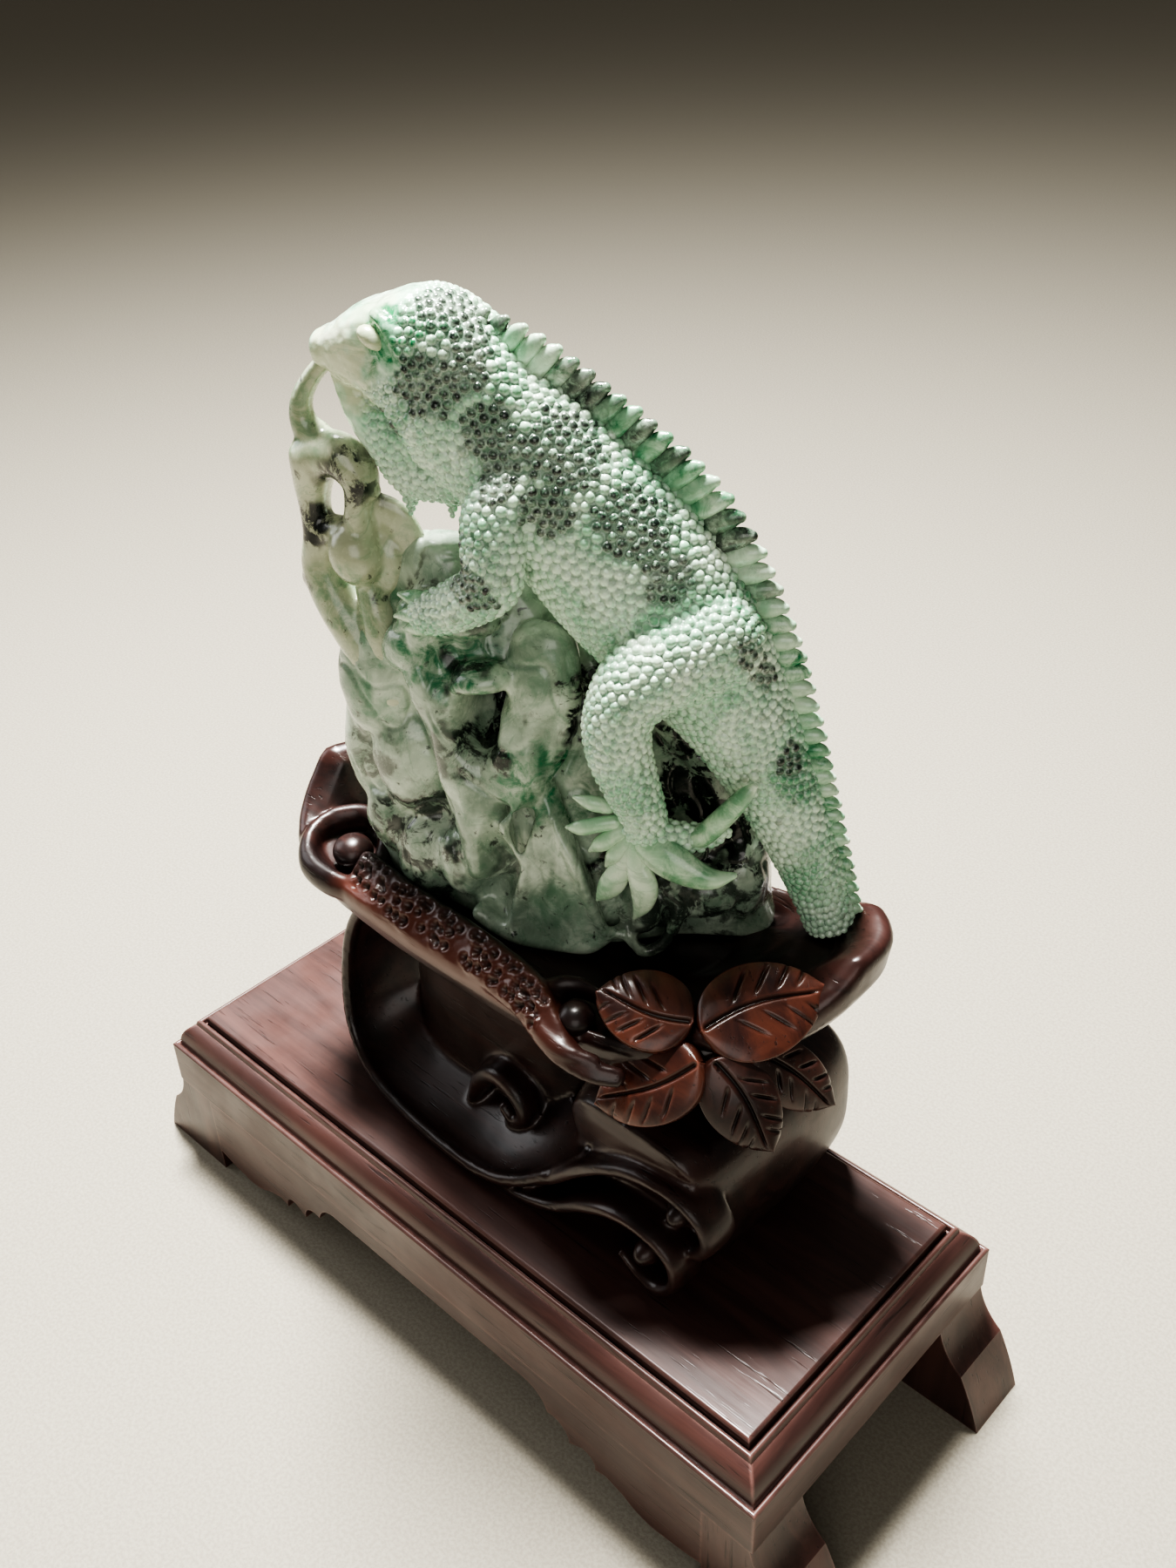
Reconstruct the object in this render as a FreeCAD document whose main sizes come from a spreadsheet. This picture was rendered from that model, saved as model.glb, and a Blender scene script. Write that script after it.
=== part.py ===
"""Jade lizard on a rock, in a carved wood stand, on a low wood table.

Millimetres. +Z is up, +X runs along the table's long side, +Y points to its
back, and the origin is on the floor under the middle of the table.
Three bodies: the table, the carved stand that lifts off it, and the jade,
which lifts out of the stand's recess.
"""
import FreeCAD, Part
import math
import os

V = FreeCAD.Vector
doc = FreeCAD.newDocument("jade_lizard")

# ---------------------------------------------------------------- the sheet
DIMENSIONS = {
    "table_length": 260.0, "table_width": 113.0, "table_top_z": 63.4,
    "rail_bottom_z": 34.7, "arris_z": 51.6, "rail_width": 24.0,
    "rebate_z": 57.4, "panel_inset": 9.8, "panel_round": 1.2,
    "foot_reach": 146.0, "leg_inner_x": 112.7, "leg_thick": 22.5,
    "apron_thick": 12.0, "batten_width": 18.0, "batten_deep": 9.0,
    "batten_place": 55.0,
    "deck_bottom_z": 132.0, "deck_top_z": 146.0, "recess_deep": 3.0,
    "recess_gap": 0.5, "core_front_y": -12.0, "ribbon_thick": 16.0,
    "leaf_thick": 3.6, "jade_turn": 25.0, "jade_offset": -7.8,
    "spine_thick": 2.2, "slab_deep": 62.0, "slab_back": 50.0, "neck_deep": 50.0,
    "neck_back": 44.0, "foot_deep": 22.0, "foot_back": 14.0, "wave_deep": 44.0,
    "wave_back": 56.0, "wave_tall": 40.0, "petal_deep": 22.0, "petal_back": 6.0,
}
sheet = doc.addObject("Spreadsheet::Sheet", "sizes")
for row, (alias, number) in enumerate(DIMENSIONS.items(), start=1):
    sheet.set("A%d" % row, alias)
    sheet.set("B%d" % row, str(number))
    sheet.setAlias("B%d" % row, alias)
doc.recompute()


def val(alias):
    return float(getattr(sheet, alias))


# ------------------------------------------------------------------ helpers
kept = []


def keep(obj, label):
    """Mark an object as a finished sub-part."""
    obj.Label = label
    kept.append(obj)
    return obj


def line(a, b):
    return Part.LineSegment(V(a[0], a[1], 0), V(b[0], b[1], 0))


def arc(a, mid, b):
    return Part.Arc(V(a[0], a[1], 0), V(mid[0], mid[1], 0), V(b[0], b[1], 0))


def outline(start, *steps):
    """A closed outline: a 2-tuple is a straight run, a 4-tuple is an arc through its first point."""
    edges = []
    here = start
    for step in steps:
        end = step[-2:]
        if len(step) == 4:
            edges.append(arc(here, step[:2], end))
        else:
            edges.append(line(here, end))
        here = end
    if math.dist(here, start) > 1e-6:
        edges.append(line(here, start))
    return edges


def smooth(points):
    """A closed smooth curve through the points."""
    curve = Part.BSplineCurve()
    curve.interpolate([V(p[0], p[1], 0) for p in points], PeriodicFlag=True)
    return [curve]


def attached_sketch(body, plane, edges, name):
    sketch = body.newObject("Sketcher::SketchObject", name)
    origin_plane = [f for f in body.Origin.OriginFeatures if f.Role == plane][0]
    sketch.AttachmentSupport = [(origin_plane, "")]
    sketch.MapMode = "FlatFace"
    for edge in edges:
        sketch.addGeometry(edge, False)
    return sketch


def padded(label, plane, edges, length, place=None):
    """One board or carved slab: an outline padded by a length given as an expression."""
    body = doc.addObject("PartDesign::Body", label)
    sketch = attached_sketch(body, plane, edges, label + "_outline")
    pad = body.newObject("PartDesign::Pad", label + "_pad")
    pad.Profile = sketch
    pad.setExpression("Length", length)
    if place is not None:
        body.Placement = place
    doc.recompute()
    return body


def feature(label, shape):
    """A free carved form whose shape comes from Part's own functions."""
    obj = doc.addObject("Part::Feature", label)
    obj.Shape = shape
    return obj


def minus(label, base, *tools):
    """A piece cut back where its neighbours stand, so that they meet face to face."""
    obj = doc.addObject("Part::Cut", label)
    obj.Base = base
    if len(tools) == 1:
        obj.Tool = tools[0]
    else:
        fuse = doc.addObject("Part::MultiFuse", label + "_neighbours")
        fuse.Shapes = list(tools)
        obj.Tool = fuse
    return obj


# --------------------------------------------------------------- the table
half_length = val("table_length") / 2
half_width = val("table_width") / 2
rail_w = val("rail_width")


def rail_section(inner):
    """The moulded rail in section: depth inward from the outer face, height."""
    low, arris, rebate = val("rail_bottom_z"), val("arris_z"), val("rebate_z")
    lip = val("panel_inset") - 0.2
    return outline((0, low), (0, arris - 1.2), (0.25, arris - 0.1, 1.2, arris),
                   (1.7, arris - 0.5), (2.1, arris + 0.4),
                   (3.3, arris + 4.9, 6.9, arris + 8.2), (7.2, arris + 9.4),
                   (8.0, arris + 10.1, 8.8, arris + 9.3), (9.1, arris + 8.3),
                   (lip, arris + 8.3), (lip, rebate), (inner, rebate), (inner, low))


def table_rail(label, length, turn):
    """A rail padded along its length, with both ends mitred at 45 degrees."""
    body = padded(label, "YZ_Plane", rail_section(rail_w), "sizes." + length)
    full = val(length)
    miter = [((0, 0), (rail_w + 1, rail_w + 1), (-1, rail_w + 1), (-1, 0)),
             ((full, 0), (full + 1, 0), (full + 1, rail_w + 1), (full - rail_w - 1, rail_w + 1))]
    edges = []
    for corner in miter:
        edges += outline(corner[0], *corner[1:])
    sketch = attached_sketch(body, "XY_Plane", edges, label + "_mitres")
    pocket = body.newObject("PartDesign::Pocket", label + "_mitre_cut")
    pocket.Profile = sketch
    pocket.Type = "ThroughAll"
    pocket.Reversed = True
    middle = FreeCAD.Placement(V(-full / 2, 0, 0), FreeCAD.Rotation())
    out = half_width if length == "table_length" else half_length
    shift = FreeCAD.Placement(V(0, -out, 0), FreeCAD.Rotation())
    spin = FreeCAD.Placement(V(0, 0, 0), FreeCAD.Rotation(V(0, 0, 1), turn))
    body.Placement = spin.multiply(shift).multiply(middle)
    doc.recompute()
    return keep(body, label)


table_rail("table_rail_front", "table_length", 0)
table_rail("table_rail_right", "table_width", 90)
table_rail("table_rail_back", "table_length", 180)
table_rail("table_rail_left", "table_width", 270)

# The panel lies in the rails' rebate, with a softened top edge.
panel = doc.addObject("Part::Box", "panel_blank")
panel.setExpression("Length", "sizes.table_length - 2 * sizes.panel_inset")
panel.setExpression("Width", "sizes.table_width - 2 * sizes.panel_inset")
panel.setExpression("Height", "sizes.table_top_z - sizes.rebate_z")
inset = val("panel_inset")
panel.Placement = FreeCAD.Placement(V(inset - half_length, inset - half_width, val("rebate_z")),
                                    FreeCAD.Rotation())
doc.recompute()
panel_soft = doc.addObject("Part::Fillet", "panel_softened")
panel_soft.Base = panel
top_edges = [n for n, e in enumerate(panel.Shape.Edges, start=1)
             if min(v.Z for v in e.Vertexes) > val("table_top_z") - 0.01]
panel_soft.Edges = [(n, val("panel_round"), val("panel_round")) for n in top_edges]
keep(panel_soft, "table_top_panel")

# Battens run across under the panel, between the long rails.
for name, side in (("left", -1), ("right", 1)):
    batten = doc.addObject("Part::Box", "table_batten_" + name)
    batten.setExpression("Length", "sizes.batten_width")
    batten.setExpression("Width", "sizes.table_width - 2 * sizes.rail_width")
    batten.setExpression("Height", "sizes.batten_deep")
    batten.Placement = FreeCAD.Placement(
        V(side * val("batten_place") - val("batten_width") / 2, rail_w - half_width,
          val("rebate_z") - val("batten_deep")), FreeCAD.Rotation())
    keep(batten, "table_batten_" + name)

# Four legs sawn to an outward curve, two aprons with a cusped lower edge.
leg_in = val("leg_inner_x")
top_z = val("rail_bottom_z")
reach = val("foot_reach")
leg_edges = outline((leg_in, 0), (leg_in, top_z), (half_length - 0.8, top_z),
                    (half_length + 2.2, 26.5, half_length + 8.0, 20.0),
                    (half_length + 12.6, 10.0, reach, 0))
for front_name, y_face in (("front", val("leg_thick") - half_width), ("back", half_width)):
    for side_name, mirrored in (("right", False), ("left", True)):
        label = "table_leg_%s_%s" % (front_name, side_name)
        spin = FreeCAD.Rotation(V(0, 0, 1), 180 if mirrored else 0)
        y_at = y_face - val("leg_thick") if mirrored else y_face
        keep(padded(label, "XZ_Plane", leg_edges, "sizes.leg_thick",
                    FreeCAD.Placement(V(0, y_at, 0), spin)), label)


def apron_edges():
    right = [(leg_in, 9.1), (108.3, 7.9, 99.7, 6.5), (91.5, 6.2, 84.0, 9.6), (77.0, 11.8),
             (72.8, 10.4), (72.2, 14.0, 67.6, 15.8), (62.4, 13.0), (60.6, 18.0, 53.7, 19.4),
             (50.8, 24.6, 45.0, 27.2)]
    left = [(-45.0, 27.2), (-50.8, 24.6, -53.7, 19.4), (-60.6, 18.0, -62.4, 13.0),
            (-67.6, 15.8), (-72.2, 14.0, -72.8, 10.4), (-77.0, 11.8), (-84.0, 9.6),
            (-91.5, 6.2, -99.7, 6.5), (-108.3, 7.9, -leg_in, 9.1), (-leg_in, top_z)]
    return outline((leg_in, top_z), *(right + left))


keep(padded("table_apron_front", "XZ_Plane", apron_edges(), "sizes.apron_thick",
            FreeCAD.Placement(V(0, val("apron_thick") - half_width, 0), FreeCAD.Rotation())),
     "table_apron_front")
keep(padded("table_apron_back", "XZ_Plane", apron_edges(), "sizes.apron_thick",
            FreeCAD.Placement(V(0, half_width, 0), FreeCAD.Rotation())),
     "table_apron_back")

# ---------------------------------------------------------------- the jade
turn = math.radians(val("jade_turn"))
offset = val("jade_offset")


def jade_point(along, out, height):
    """From the lizard's own plane: along it, out of it to its left side, and up."""
    return V(along * math.cos(turn) + (out + offset) * math.sin(turn),
             along * math.sin(turn) - (out + offset) * math.cos(turn), height)


def limb(stations):
    """A smooth solid through round sections: each station is along, out, height, radius."""
    centres = [jade_point(*s[:3]) for s in stations]
    wires = []
    for i, station in enumerate(stations):
        ahead = centres[min(i + 1, len(centres) - 1)]
        behind = centres[max(i - 1, 0)]
        wires.append(Part.Wire([Part.Circle(centres[i], ahead - behind, station[3]).toShape()]))
    return Part.makeLoft(wires, True, False)


def blob(centre, radii, lean=0.0):
    """An ellipsoid in the jade's own directions, leaned in the lizard's plane."""
    ball = Part.makeSphere(1.0)
    stretch = FreeCAD.Matrix()
    stretch.scale(V(*radii))
    ball = ball.transformGeometry(stretch)
    tilt = FreeCAD.Rotation(V(0, 1, 0), lean)
    spin = FreeCAD.Rotation(V(0, 0, 1), val("jade_turn"))
    ball.Placement = FreeCAD.Placement(jade_point(*centre), spin.multiply(tilt))
    return ball


def far_side(stations):
    """The same limb on the lizard's right side, held closer to the rock."""
    return [(a, -FAR_SIDE_REACH * o, z, r) for a, o, z, r in stations]


deck_top = val("deck_top_z")
rock_foot = deck_top - val("recess_deep")
ROCK_FOOT_OUTLINE = [(-58, -16), (-50, -3), (-25, 9), (1, 19), (26, 15), (44, 5), (66, -2),
                     (66, -14), (44, -24), (4, -30), (-38, -28)]


def rock_wire(height, scale_along, scale_out, shift_along, shift_out):
    pts = [jade_point(a * scale_along + shift_along, o * scale_out + shift_out, height)
           for a, o in ROCK_FOOT_OUTLINE]
    curve = Part.BSplineCurve()
    curve.interpolate(pts, PeriodicFlag=True)
    return Part.Wire([curve.toShape()])


foot_wire = rock_wire(rock_foot, 1, 1, 0, 0)
plinth_of_rock = Part.Face(foot_wire).extrude(V(0, 0, val("recess_deep") + 1))
rock_levels = [(deck_top + 1, 1, 1, 0, 0), (168, 1.0, 1.0, -1, 0), (192, 0.92, 0.95, -5, 1),
               (218, 0.66, 0.78, -19, 2), (240, 0.40, 0.60, -24, 2), (258, 0.20, 0.35, -21, 0)]
rock_upper = Part.makeLoft([rock_wire(*level) for level in rock_levels], True, False)
rock_raw = feature("rock_blank", plinth_of_rock.fuse(rock_upper).removeSplitter())

torso = keep(feature("torso", limb([(-10, 0, 292, 19), (6, 0, 283, 21), (18, 0, 270, 23),
                                    (32, 0, 255, 23.5), (46, 0, 238, 21), (58, 0, 221, 16)])),
             "lizard_torso")
tail_raw = feature("tail_blank", limb([(58, 0, 221, 15.5), (66, 0, 207, 13), (74, 0, 190, 10),
                                       (81.5, 0, 172, 8.2), (86.4, 0, 154.5, 7.2)]))
tail = keep(minus("tail", tail_raw, torso), "lizard_tail")
head_raw = feature("head_blank", limb([(-8, 0, 295, 20), (-19, 0, 302, 21.5), (-30, 0, 303, 18),
                                       (-40, 0, 304.5, 12), (-47.5, 0, 308, 5)]))
head = keep(minus("head", head_raw, torso), "lizard_head")
dewlap_raw = feature("dewlap_blank", blob((-26, 0, 277), (10, 3.2, 11)))
keep(minus("dewlap", dewlap_raw, head, torso), "lizard_dewlap")
eyes = [feature("eye_%s_blank" % side, blob((-30, out, 311), (3.2, 2.6, 3.2)))
        for side, out in (("left", 15.6), ("right", -15.6))]
eye_pair = doc.addObject("Part::MultiFuse", "eye_pair")
eye_pair.Shapes = eyes
keep(minus("eyes", eye_pair, head), "lizard_eyes")

FORELEG = [(2, 13, 277, 10.5), (3, 20, 266, 9.5), (-1, 23, 258, 8), (-12, 18, 249, 6.5),
           (-24, 12, 242, 5.5)]
HINDLEG = [(48, 10, 241, 15), (38, 22, 233, 14), (31, 28, 221, 11.5), (34, 27, 208, 9.5),
           (38, 23, 197, 7.5)]
FOOT = [(37.5, 23, 196, 7), (47, 22, 190, 6), (57, 20, 188, 3.5)]
FAR_SIDE_REACH = 0.78
legs = []
for side, flip in (("left", False), ("right", True)):
    fore = far_side(FORELEG) if flip else FORELEG
    hind = far_side(HINDLEG) if flip else HINDLEG
    foot = far_side(FOOT) if flip else FOOT
    fore_raw = feature("foreleg_%s_blank" % side, limb(fore))
    hind_raw = feature("hindleg_%s_blank" % side, limb(hind))
    foot_raw = feature("foot_%s_blank" % side, limb(foot))
    legs.append(keep(minus("foreleg_" + side, fore_raw, torso), "lizard_foreleg_" + side))
    hind_leg = keep(minus("hindleg_" + side, hind_raw, torso), "lizard_hindleg_" + side)
    legs.append(hind_leg)
    legs.append(keep(minus("foot_" + side, foot_raw, hind_leg), "lizard_foot_" + side))

keep(minus("rock", rock_raw, torso, tail, *legs), "rock")

# The crest: a row of flat spines along the back, shorter towards the tail.
CREST_LINE = [(-4, 310), (14, 302), (31, 290), (46, 276), (58, 256), (68, 238), (76, 214),
              (83, 190), (89, 166)]
crest_curve = Part.BSplineCurve()
crest_curve.interpolate([V(a, z, 0) for a, z in CREST_LINE])
spines = []
spine_count = 26
roots = crest_curve.toShape().discretize(Number=spine_count + 2)
for i in range(spine_count):
    share = i / (spine_count - 1)
    root = roots[i + 1]
    run = (roots[i + 2] - roots[i]).normalize()
    up = V(-run.y, run.x, 0)
    tall = 7.0 - 5.0 * share
    half = 2.1 - 0.6 * share
    tip = root + up * tall + run * 1.5
    corners = [root - run * half - up * 2.5, root + run * half - up * 2.5, tip]
    flat = Part.Face(Part.makePolygon([jade_point(c.x, -val("spine_thick") / 2, c.y)
                                       for c in corners + corners[:1]]))
    across = jade_point(0, val("spine_thick"), 0) - jade_point(0, 0, 0)
    spines.append(flat.extrude(across))
crest_raw = feature("crest_blank", Part.makeCompound(spines))
keep(minus("crest", crest_raw, torso, head, tail), "lizard_crest")

stem_raw = feature("vine_blank", limb([(-47, 0, 222, 6), (-46, 0, 236, 5), (-48, 0, 250, 5)]))
rock = [k for k in kept if k.Label == "rock"][0]
stem = keep(minus("vine_stem", stem_raw, rock), "vine_stem")
cap_raw = feature("vine_cap_blank", limb([(-47, 0, 246, 6), (-48.5, 0, 253, 9.5),
                                          (-51, 0, 265, 9.8), (-53.5, 0, 277, 6.5),
                                          (-54.5, 0, 281.5, 3)]))
cap = keep(minus("vine_cap", cap_raw, stem, rock), "vine_cap")
tendril_raw = feature("tendril_blank", limb([(-53, 0, 274, 4), (-58, 0, 284, 3.4),
                                             (-55, 0, 297, 2.8), (-46, 0, 305, 2.4)]))
keep(minus("vine_tendril", tendril_raw, cap, head), "vine_tendril")

# --------------------------------------------------------------- the stand
table_top = val("table_top_z")
deck_low = val("deck_bottom_z")
DECK_OUTLINE = [(-90, -6), (-78, -22), (-45, -29), (0, -29), (40, -28), (62, -20), (77, -6),
                (86, 10), (94, 26), (94, 42), (78, 52), (40, 52), (0, 48), (-42, 40), (-76, 22)]
deck_blank = padded("deck_blank", "XY_Plane", smooth(DECK_OUTLINE),
                    "sizes.deck_top_z - sizes.deck_bottom_z",
                    FreeCAD.Placement(V(0, 0, deck_low), FreeCAD.Rotation()))
recess_grow = 1 + val("recess_gap") / 25
recess_wire = rock_wire(rock_foot, recess_grow, recess_grow, 0, 0)
recess = feature("recess_space", Part.Face(recess_wire).extrude(V(0, 0, 10)))
deck = keep(minus("deck", deck_blank, recess), "stand_deck")

core_y = val("core_front_y")
deep = val("ribbon_thick")
core_edges = outline((-62, core_y), (30, core_y), (30, 44), (-30, 44, -62, 14))
keep(padded("stand_core", "XY_Plane", core_edges, "sizes.deck_bottom_z - sizes.table_top_z",
            FreeCAD.Placement(V(0, 0, table_top), FreeCAD.Rotation())), "stand_core")


def front_scroll(label, edges, thick="sizes.ribbon_thick", back=core_y):
    place = FreeCAD.Placement(V(0, back, 0), FreeCAD.Rotation())
    return padded(label, "XZ_Plane", edges, thick, place)


ribbon_edges = outline((-48, deck_low), (-72, deck_low), (-77, 100, -68, 78),
                       (-58.5, 69, -44, table_top), (26, table_top),
                       (39.8, 69.6, 46, 82), (26, 77, 4, 76), (-36, 76, -52, 94),
                       (-59, 110, -48, deck_low))
keep(front_scroll("stand_ribbon", ribbon_edges), "stand_ribbon")
lower_edges = outline((46, table_top), (78, table_top), (84, 70, 78, 77), (46, 77))
keep(front_scroll("stand_scroll_lower", lower_edges), "stand_scroll_lower")
upper_edges = outline((46.2, 77), (80, 77), (90, 88, 82, 100), (66, 108, 46.2, 90))
keep(front_scroll("stand_scroll_upper", upper_edges), "stand_scroll_upper")
curl_edges = outline((-10, 80), (-2, 73, 6, 80), (9, 90, -2, 93), (-10, 88, -10, 80))
curl_raw = front_scroll("inner_curl_blank", curl_edges)
ribbon = [k for k in kept if k.Label == "stand_ribbon"][0]
keep(minus("stand_inner_curl", curl_raw, ribbon), "stand_inner_curl")
slab_edges = outline((30, table_top), (66, table_top), (76, 67.5, 82, 76), (86, 92, 82, 106),
                     (78, 117, 66, 118), (30, 118))
keep(front_scroll("stand_slab", slab_edges, "sizes.slab_deep", val("slab_back")), "stand_slab")
neck_edges = outline((30, 118), (66, 118), (70, 126, 78, deck_low), (30, deck_low))
keep(front_scroll("stand_slab_neck", neck_edges, "sizes.neck_deep", val("neck_back")),
     "stand_slab_neck")
foot_edges = outline((-64, table_top), (-64, 104), (-74, 98, -80, 84), (-86, 72, -80, table_top))
keep(front_scroll("stand_foot_left", foot_edges, "sizes.foot_deep", val("foot_back")),
     "stand_foot_left")


def free_loft(stations, flat=1.0):
    """A solid through oval sections in plain X, Y, Z: x, y, z, radius; flat squeezes them."""
    centres = [V(*s[:3]) for s in stations]
    wires = []
    for i, station in enumerate(stations):
        run = centres[min(i + 1, len(centres) - 1)] - centres[max(i - 1, 0)]
        if flat == 1.0:
            ring = Part.Circle(centres[i], run, station[3])
        else:
            side = run.cross(V(0, 0, 1)).normalize()
            ring = Part.Ellipse(centres[i] + side * station[3],
                                centres[i] + run.cross(side).normalize() * station[3] * flat,
                                centres[i])
        wires.append(Part.Wire([ring.toShape()]))
    return Part.makeLoft(wires, True, False)


band_raw = feature("band_blank", free_loft([(-60, -29, 142, 5), (-30, -31, 142, 6),
                                            (0, -32, 142, 6), (32, -31, 142, 5)]))
band = keep(minus("stand_rim_band", band_raw, deck), "stand_rim_band")
for side, x_at, y_at in (("left", -72, -25), ("right", 44, -30)):
    scroll = doc.addObject("Part::Torus", "rim_scroll_%s_blank" % side)
    scroll.Radius1 = 8.5
    scroll.Radius2 = 3.6
    scroll.Placement = FreeCAD.Placement(V(x_at, y_at, 143.5), FreeCAD.Rotation(V(1, 0, 0), 35))
    ball = doc.addObject("Part::Sphere", "rim_ball_%s_blank" % side)
    ball.Radius = 4.4
    ball.Placement = FreeCAD.Placement(V(x_at, y_at - 1, 145), FreeCAD.Rotation(V(1, 0, 0), 90))
    keep(minus("stand_rim_scroll_" + side, scroll, deck, band), "stand_rim_scroll_" + side)
    keep(minus("stand_rim_ball_" + side, ball, deck), "stand_rim_ball_" + side)

# The right end sweeps up like a wave, with a flat seat for the end of the tail.
wave_edges = outline((58, deck_top), (70, 150, 80, 153.4), (92, 162, 90, 166),
                     (97, 164, 97, 156), (94, 148, 88, deck_top))
wave_blank = padded("wave_blank", "XZ_Plane", wave_edges, "sizes.wave_deep",
                    FreeCAD.Placement(V(0, val("wave_back"), 0), FreeCAD.Rotation()))
wave_limit = padded("wave_limit", "XY_Plane",
                    smooth([(56, 30), (70, 14), (90, 10), (98, 26), (96, 44), (80, 54), (62, 50)]),
                    "sizes.wave_tall", FreeCAD.Placement(V(0, 0, 140), FreeCAD.Rotation()))
wave = doc.addObject("Part::Common", "wave_shape")
wave.Base = wave_blank
wave.Tool = wave_limit
tail_room = feature("tail_room", limb([(80, 0, 180, 10.5), (86.4, 0, 153.9, 9.5)])
                    .fuse(limb([(86.4, 0, 153.9, 9.5), (86.4, 0, 152.6, 9.5)])))
keep(minus("stand_wave", wave, tail_room), "stand_wave")

petal_edges = outline((-99, 138), (-104, 152, -93, 168), (-88, 160, -86, 150), (-84, 144, -86, 138))
petal_blank = padded("petal_blank", "XZ_Plane", petal_edges, "sizes.petal_deep",
                     FreeCAD.Placement(V(0, val("petal_back"), 0), FreeCAD.Rotation()))
keep(minus("stand_petal", petal_blank, deck), "stand_petal")

# Five leaves hang over the right front corner: centre, length, width, spin, dip, tilt.
LEAVES = {"a": ((57, -15, 151), 34, 24, 150, 5, 25),
          "b": ((81, 4, 152), 36, 26, 20, 8, -20),
          "c": ((66, -30, 141), 34, 22, 200, 5, 40),
          "d": ((86, -8, 133), 34, 24, 300, 58, 0),
          "e": ((95, 12, 133), 26, 20, 340, 55, 0)}


def leaf_outline(length, width):
    end, side = length / 2, width / 2
    return outline((-end, 0), (-end * 0.55, -side * 0.92, 0, -side), (end * 0.6, -side * 0.8, end, 0),
                   (end * 0.6, side * 0.8, 0, side), (-end * 0.55, side * 0.92, -end, 0))


leaves = []
neighbours = [deck, band] + [k for k in kept if k.Label.startswith(("stand_rim", "stand_scroll",
                                                                    "stand_slab", "stand_wave"))]
for name, (centre, length, width, spin, dip, tilt) in LEAVES.items():
    pose = FreeCAD.Rotation(V(0, 0, 1), spin).multiply(FreeCAD.Rotation(V(0, 1, 0), dip))
    pose = pose.multiply(FreeCAD.Rotation(V(1, 0, 0), tilt))
    blank = padded("leaf_%s_blank" % name, "XY_Plane", leaf_outline(length, width),
                   "sizes.leaf_thick", FreeCAD.Placement(V(*centre), pose))
    leaf = keep(minus("stand_leaf_" + name, blank, *(neighbours + leaves)), "stand_leaf_" + name)
    leaves.append(leaf)

# ------------------------------------------------------------------- write
doc.recompute()
bad = [o.Label for o in doc.Objects if "Invalid" in o.State or "Error" in o.State]
for piece in kept:
    if piece.Shape.isNull() or not piece.Shape.isValid() or not piece.Shape.Solids:
        bad.append(piece.Label + " (shape)")
if bad:
    raise RuntimeError("failed: " + ", ".join(bad))
os.makedirs("parts", exist_ok=True)
for piece in kept:
    piece.Shape.exportStep("parts/%s.step" % piece.Label)
    box = piece.Shape.BoundBox
    print("%-26s solids %2d  vol %9.0f  x %6.1f %6.1f  y %6.1f %6.1f  z %6.1f %6.1f"
          % (piece.Label, len(piece.Shape.Solids), piece.Shape.Volume, box.XMin, box.XMax,
             box.YMin, box.YMax, box.ZMin, box.ZMax))
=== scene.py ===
# %% [markdown]
# # A jade lizard on its rock, in a carved wood stand, on a low table
# The CAD model is the fixed frame: it says where everything is and how big it
# is. Everything modelled below stands in that frame, in metres. Working sizes
# are in millimetres, because a carver would think in them, and one helper
# turns them into metres at the very end.

# %% Load the frame
import math
import random

import bpy
import numpy as np
from mathutils import Matrix, Vector, kdtree, noise


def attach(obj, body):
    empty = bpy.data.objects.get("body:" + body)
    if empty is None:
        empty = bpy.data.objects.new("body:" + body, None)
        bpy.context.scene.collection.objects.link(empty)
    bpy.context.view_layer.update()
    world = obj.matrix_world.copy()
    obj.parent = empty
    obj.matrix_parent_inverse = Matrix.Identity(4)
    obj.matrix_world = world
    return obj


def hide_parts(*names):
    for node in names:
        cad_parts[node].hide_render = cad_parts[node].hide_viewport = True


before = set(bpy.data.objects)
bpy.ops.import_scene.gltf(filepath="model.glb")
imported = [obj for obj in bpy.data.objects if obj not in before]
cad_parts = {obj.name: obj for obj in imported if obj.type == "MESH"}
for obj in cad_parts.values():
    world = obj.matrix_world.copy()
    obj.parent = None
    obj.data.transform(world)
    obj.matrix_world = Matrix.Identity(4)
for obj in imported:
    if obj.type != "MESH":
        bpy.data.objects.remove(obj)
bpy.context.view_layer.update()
MM = 0.001

# %% [markdown]
# ## Helpers for carved forms
# A carving is a continuous skin over a few full volumes. The volumes here are
# tubes: oval rings strung on a smooth path, closed with round ends. The same
# helper makes a leg, a tail, a vine and a scroll of wood, so it comes first.
# A ring can be squarer than an oval, which suits a ribbon of wood.


# %% Smooth paths and tubes
def smooth_rows(rows, steps):
    """Rows of numbers read again along a smooth curve through them."""
    rows = np.asarray(rows, float)
    last = len(rows) - 1
    t = np.linspace(0, last, steps)
    i = np.clip(t.astype(int), 0, last - 1)
    f = (t - i)[:, None]
    a, b = rows[np.maximum(i - 1, 0)], rows[i]
    c, d = rows[i + 1], rows[np.minimum(i + 2, last)]
    return 0.5 * (2 * b + (c - a) * f + (2 * a - 5 * b + 4 * c - d) * f ** 2
                  + (3 * b - a - 3 * c + d) * f ** 3)


def unit(v):
    v = np.asarray(v, float)
    return v / max(np.linalg.norm(v), 1e-12)


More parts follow.
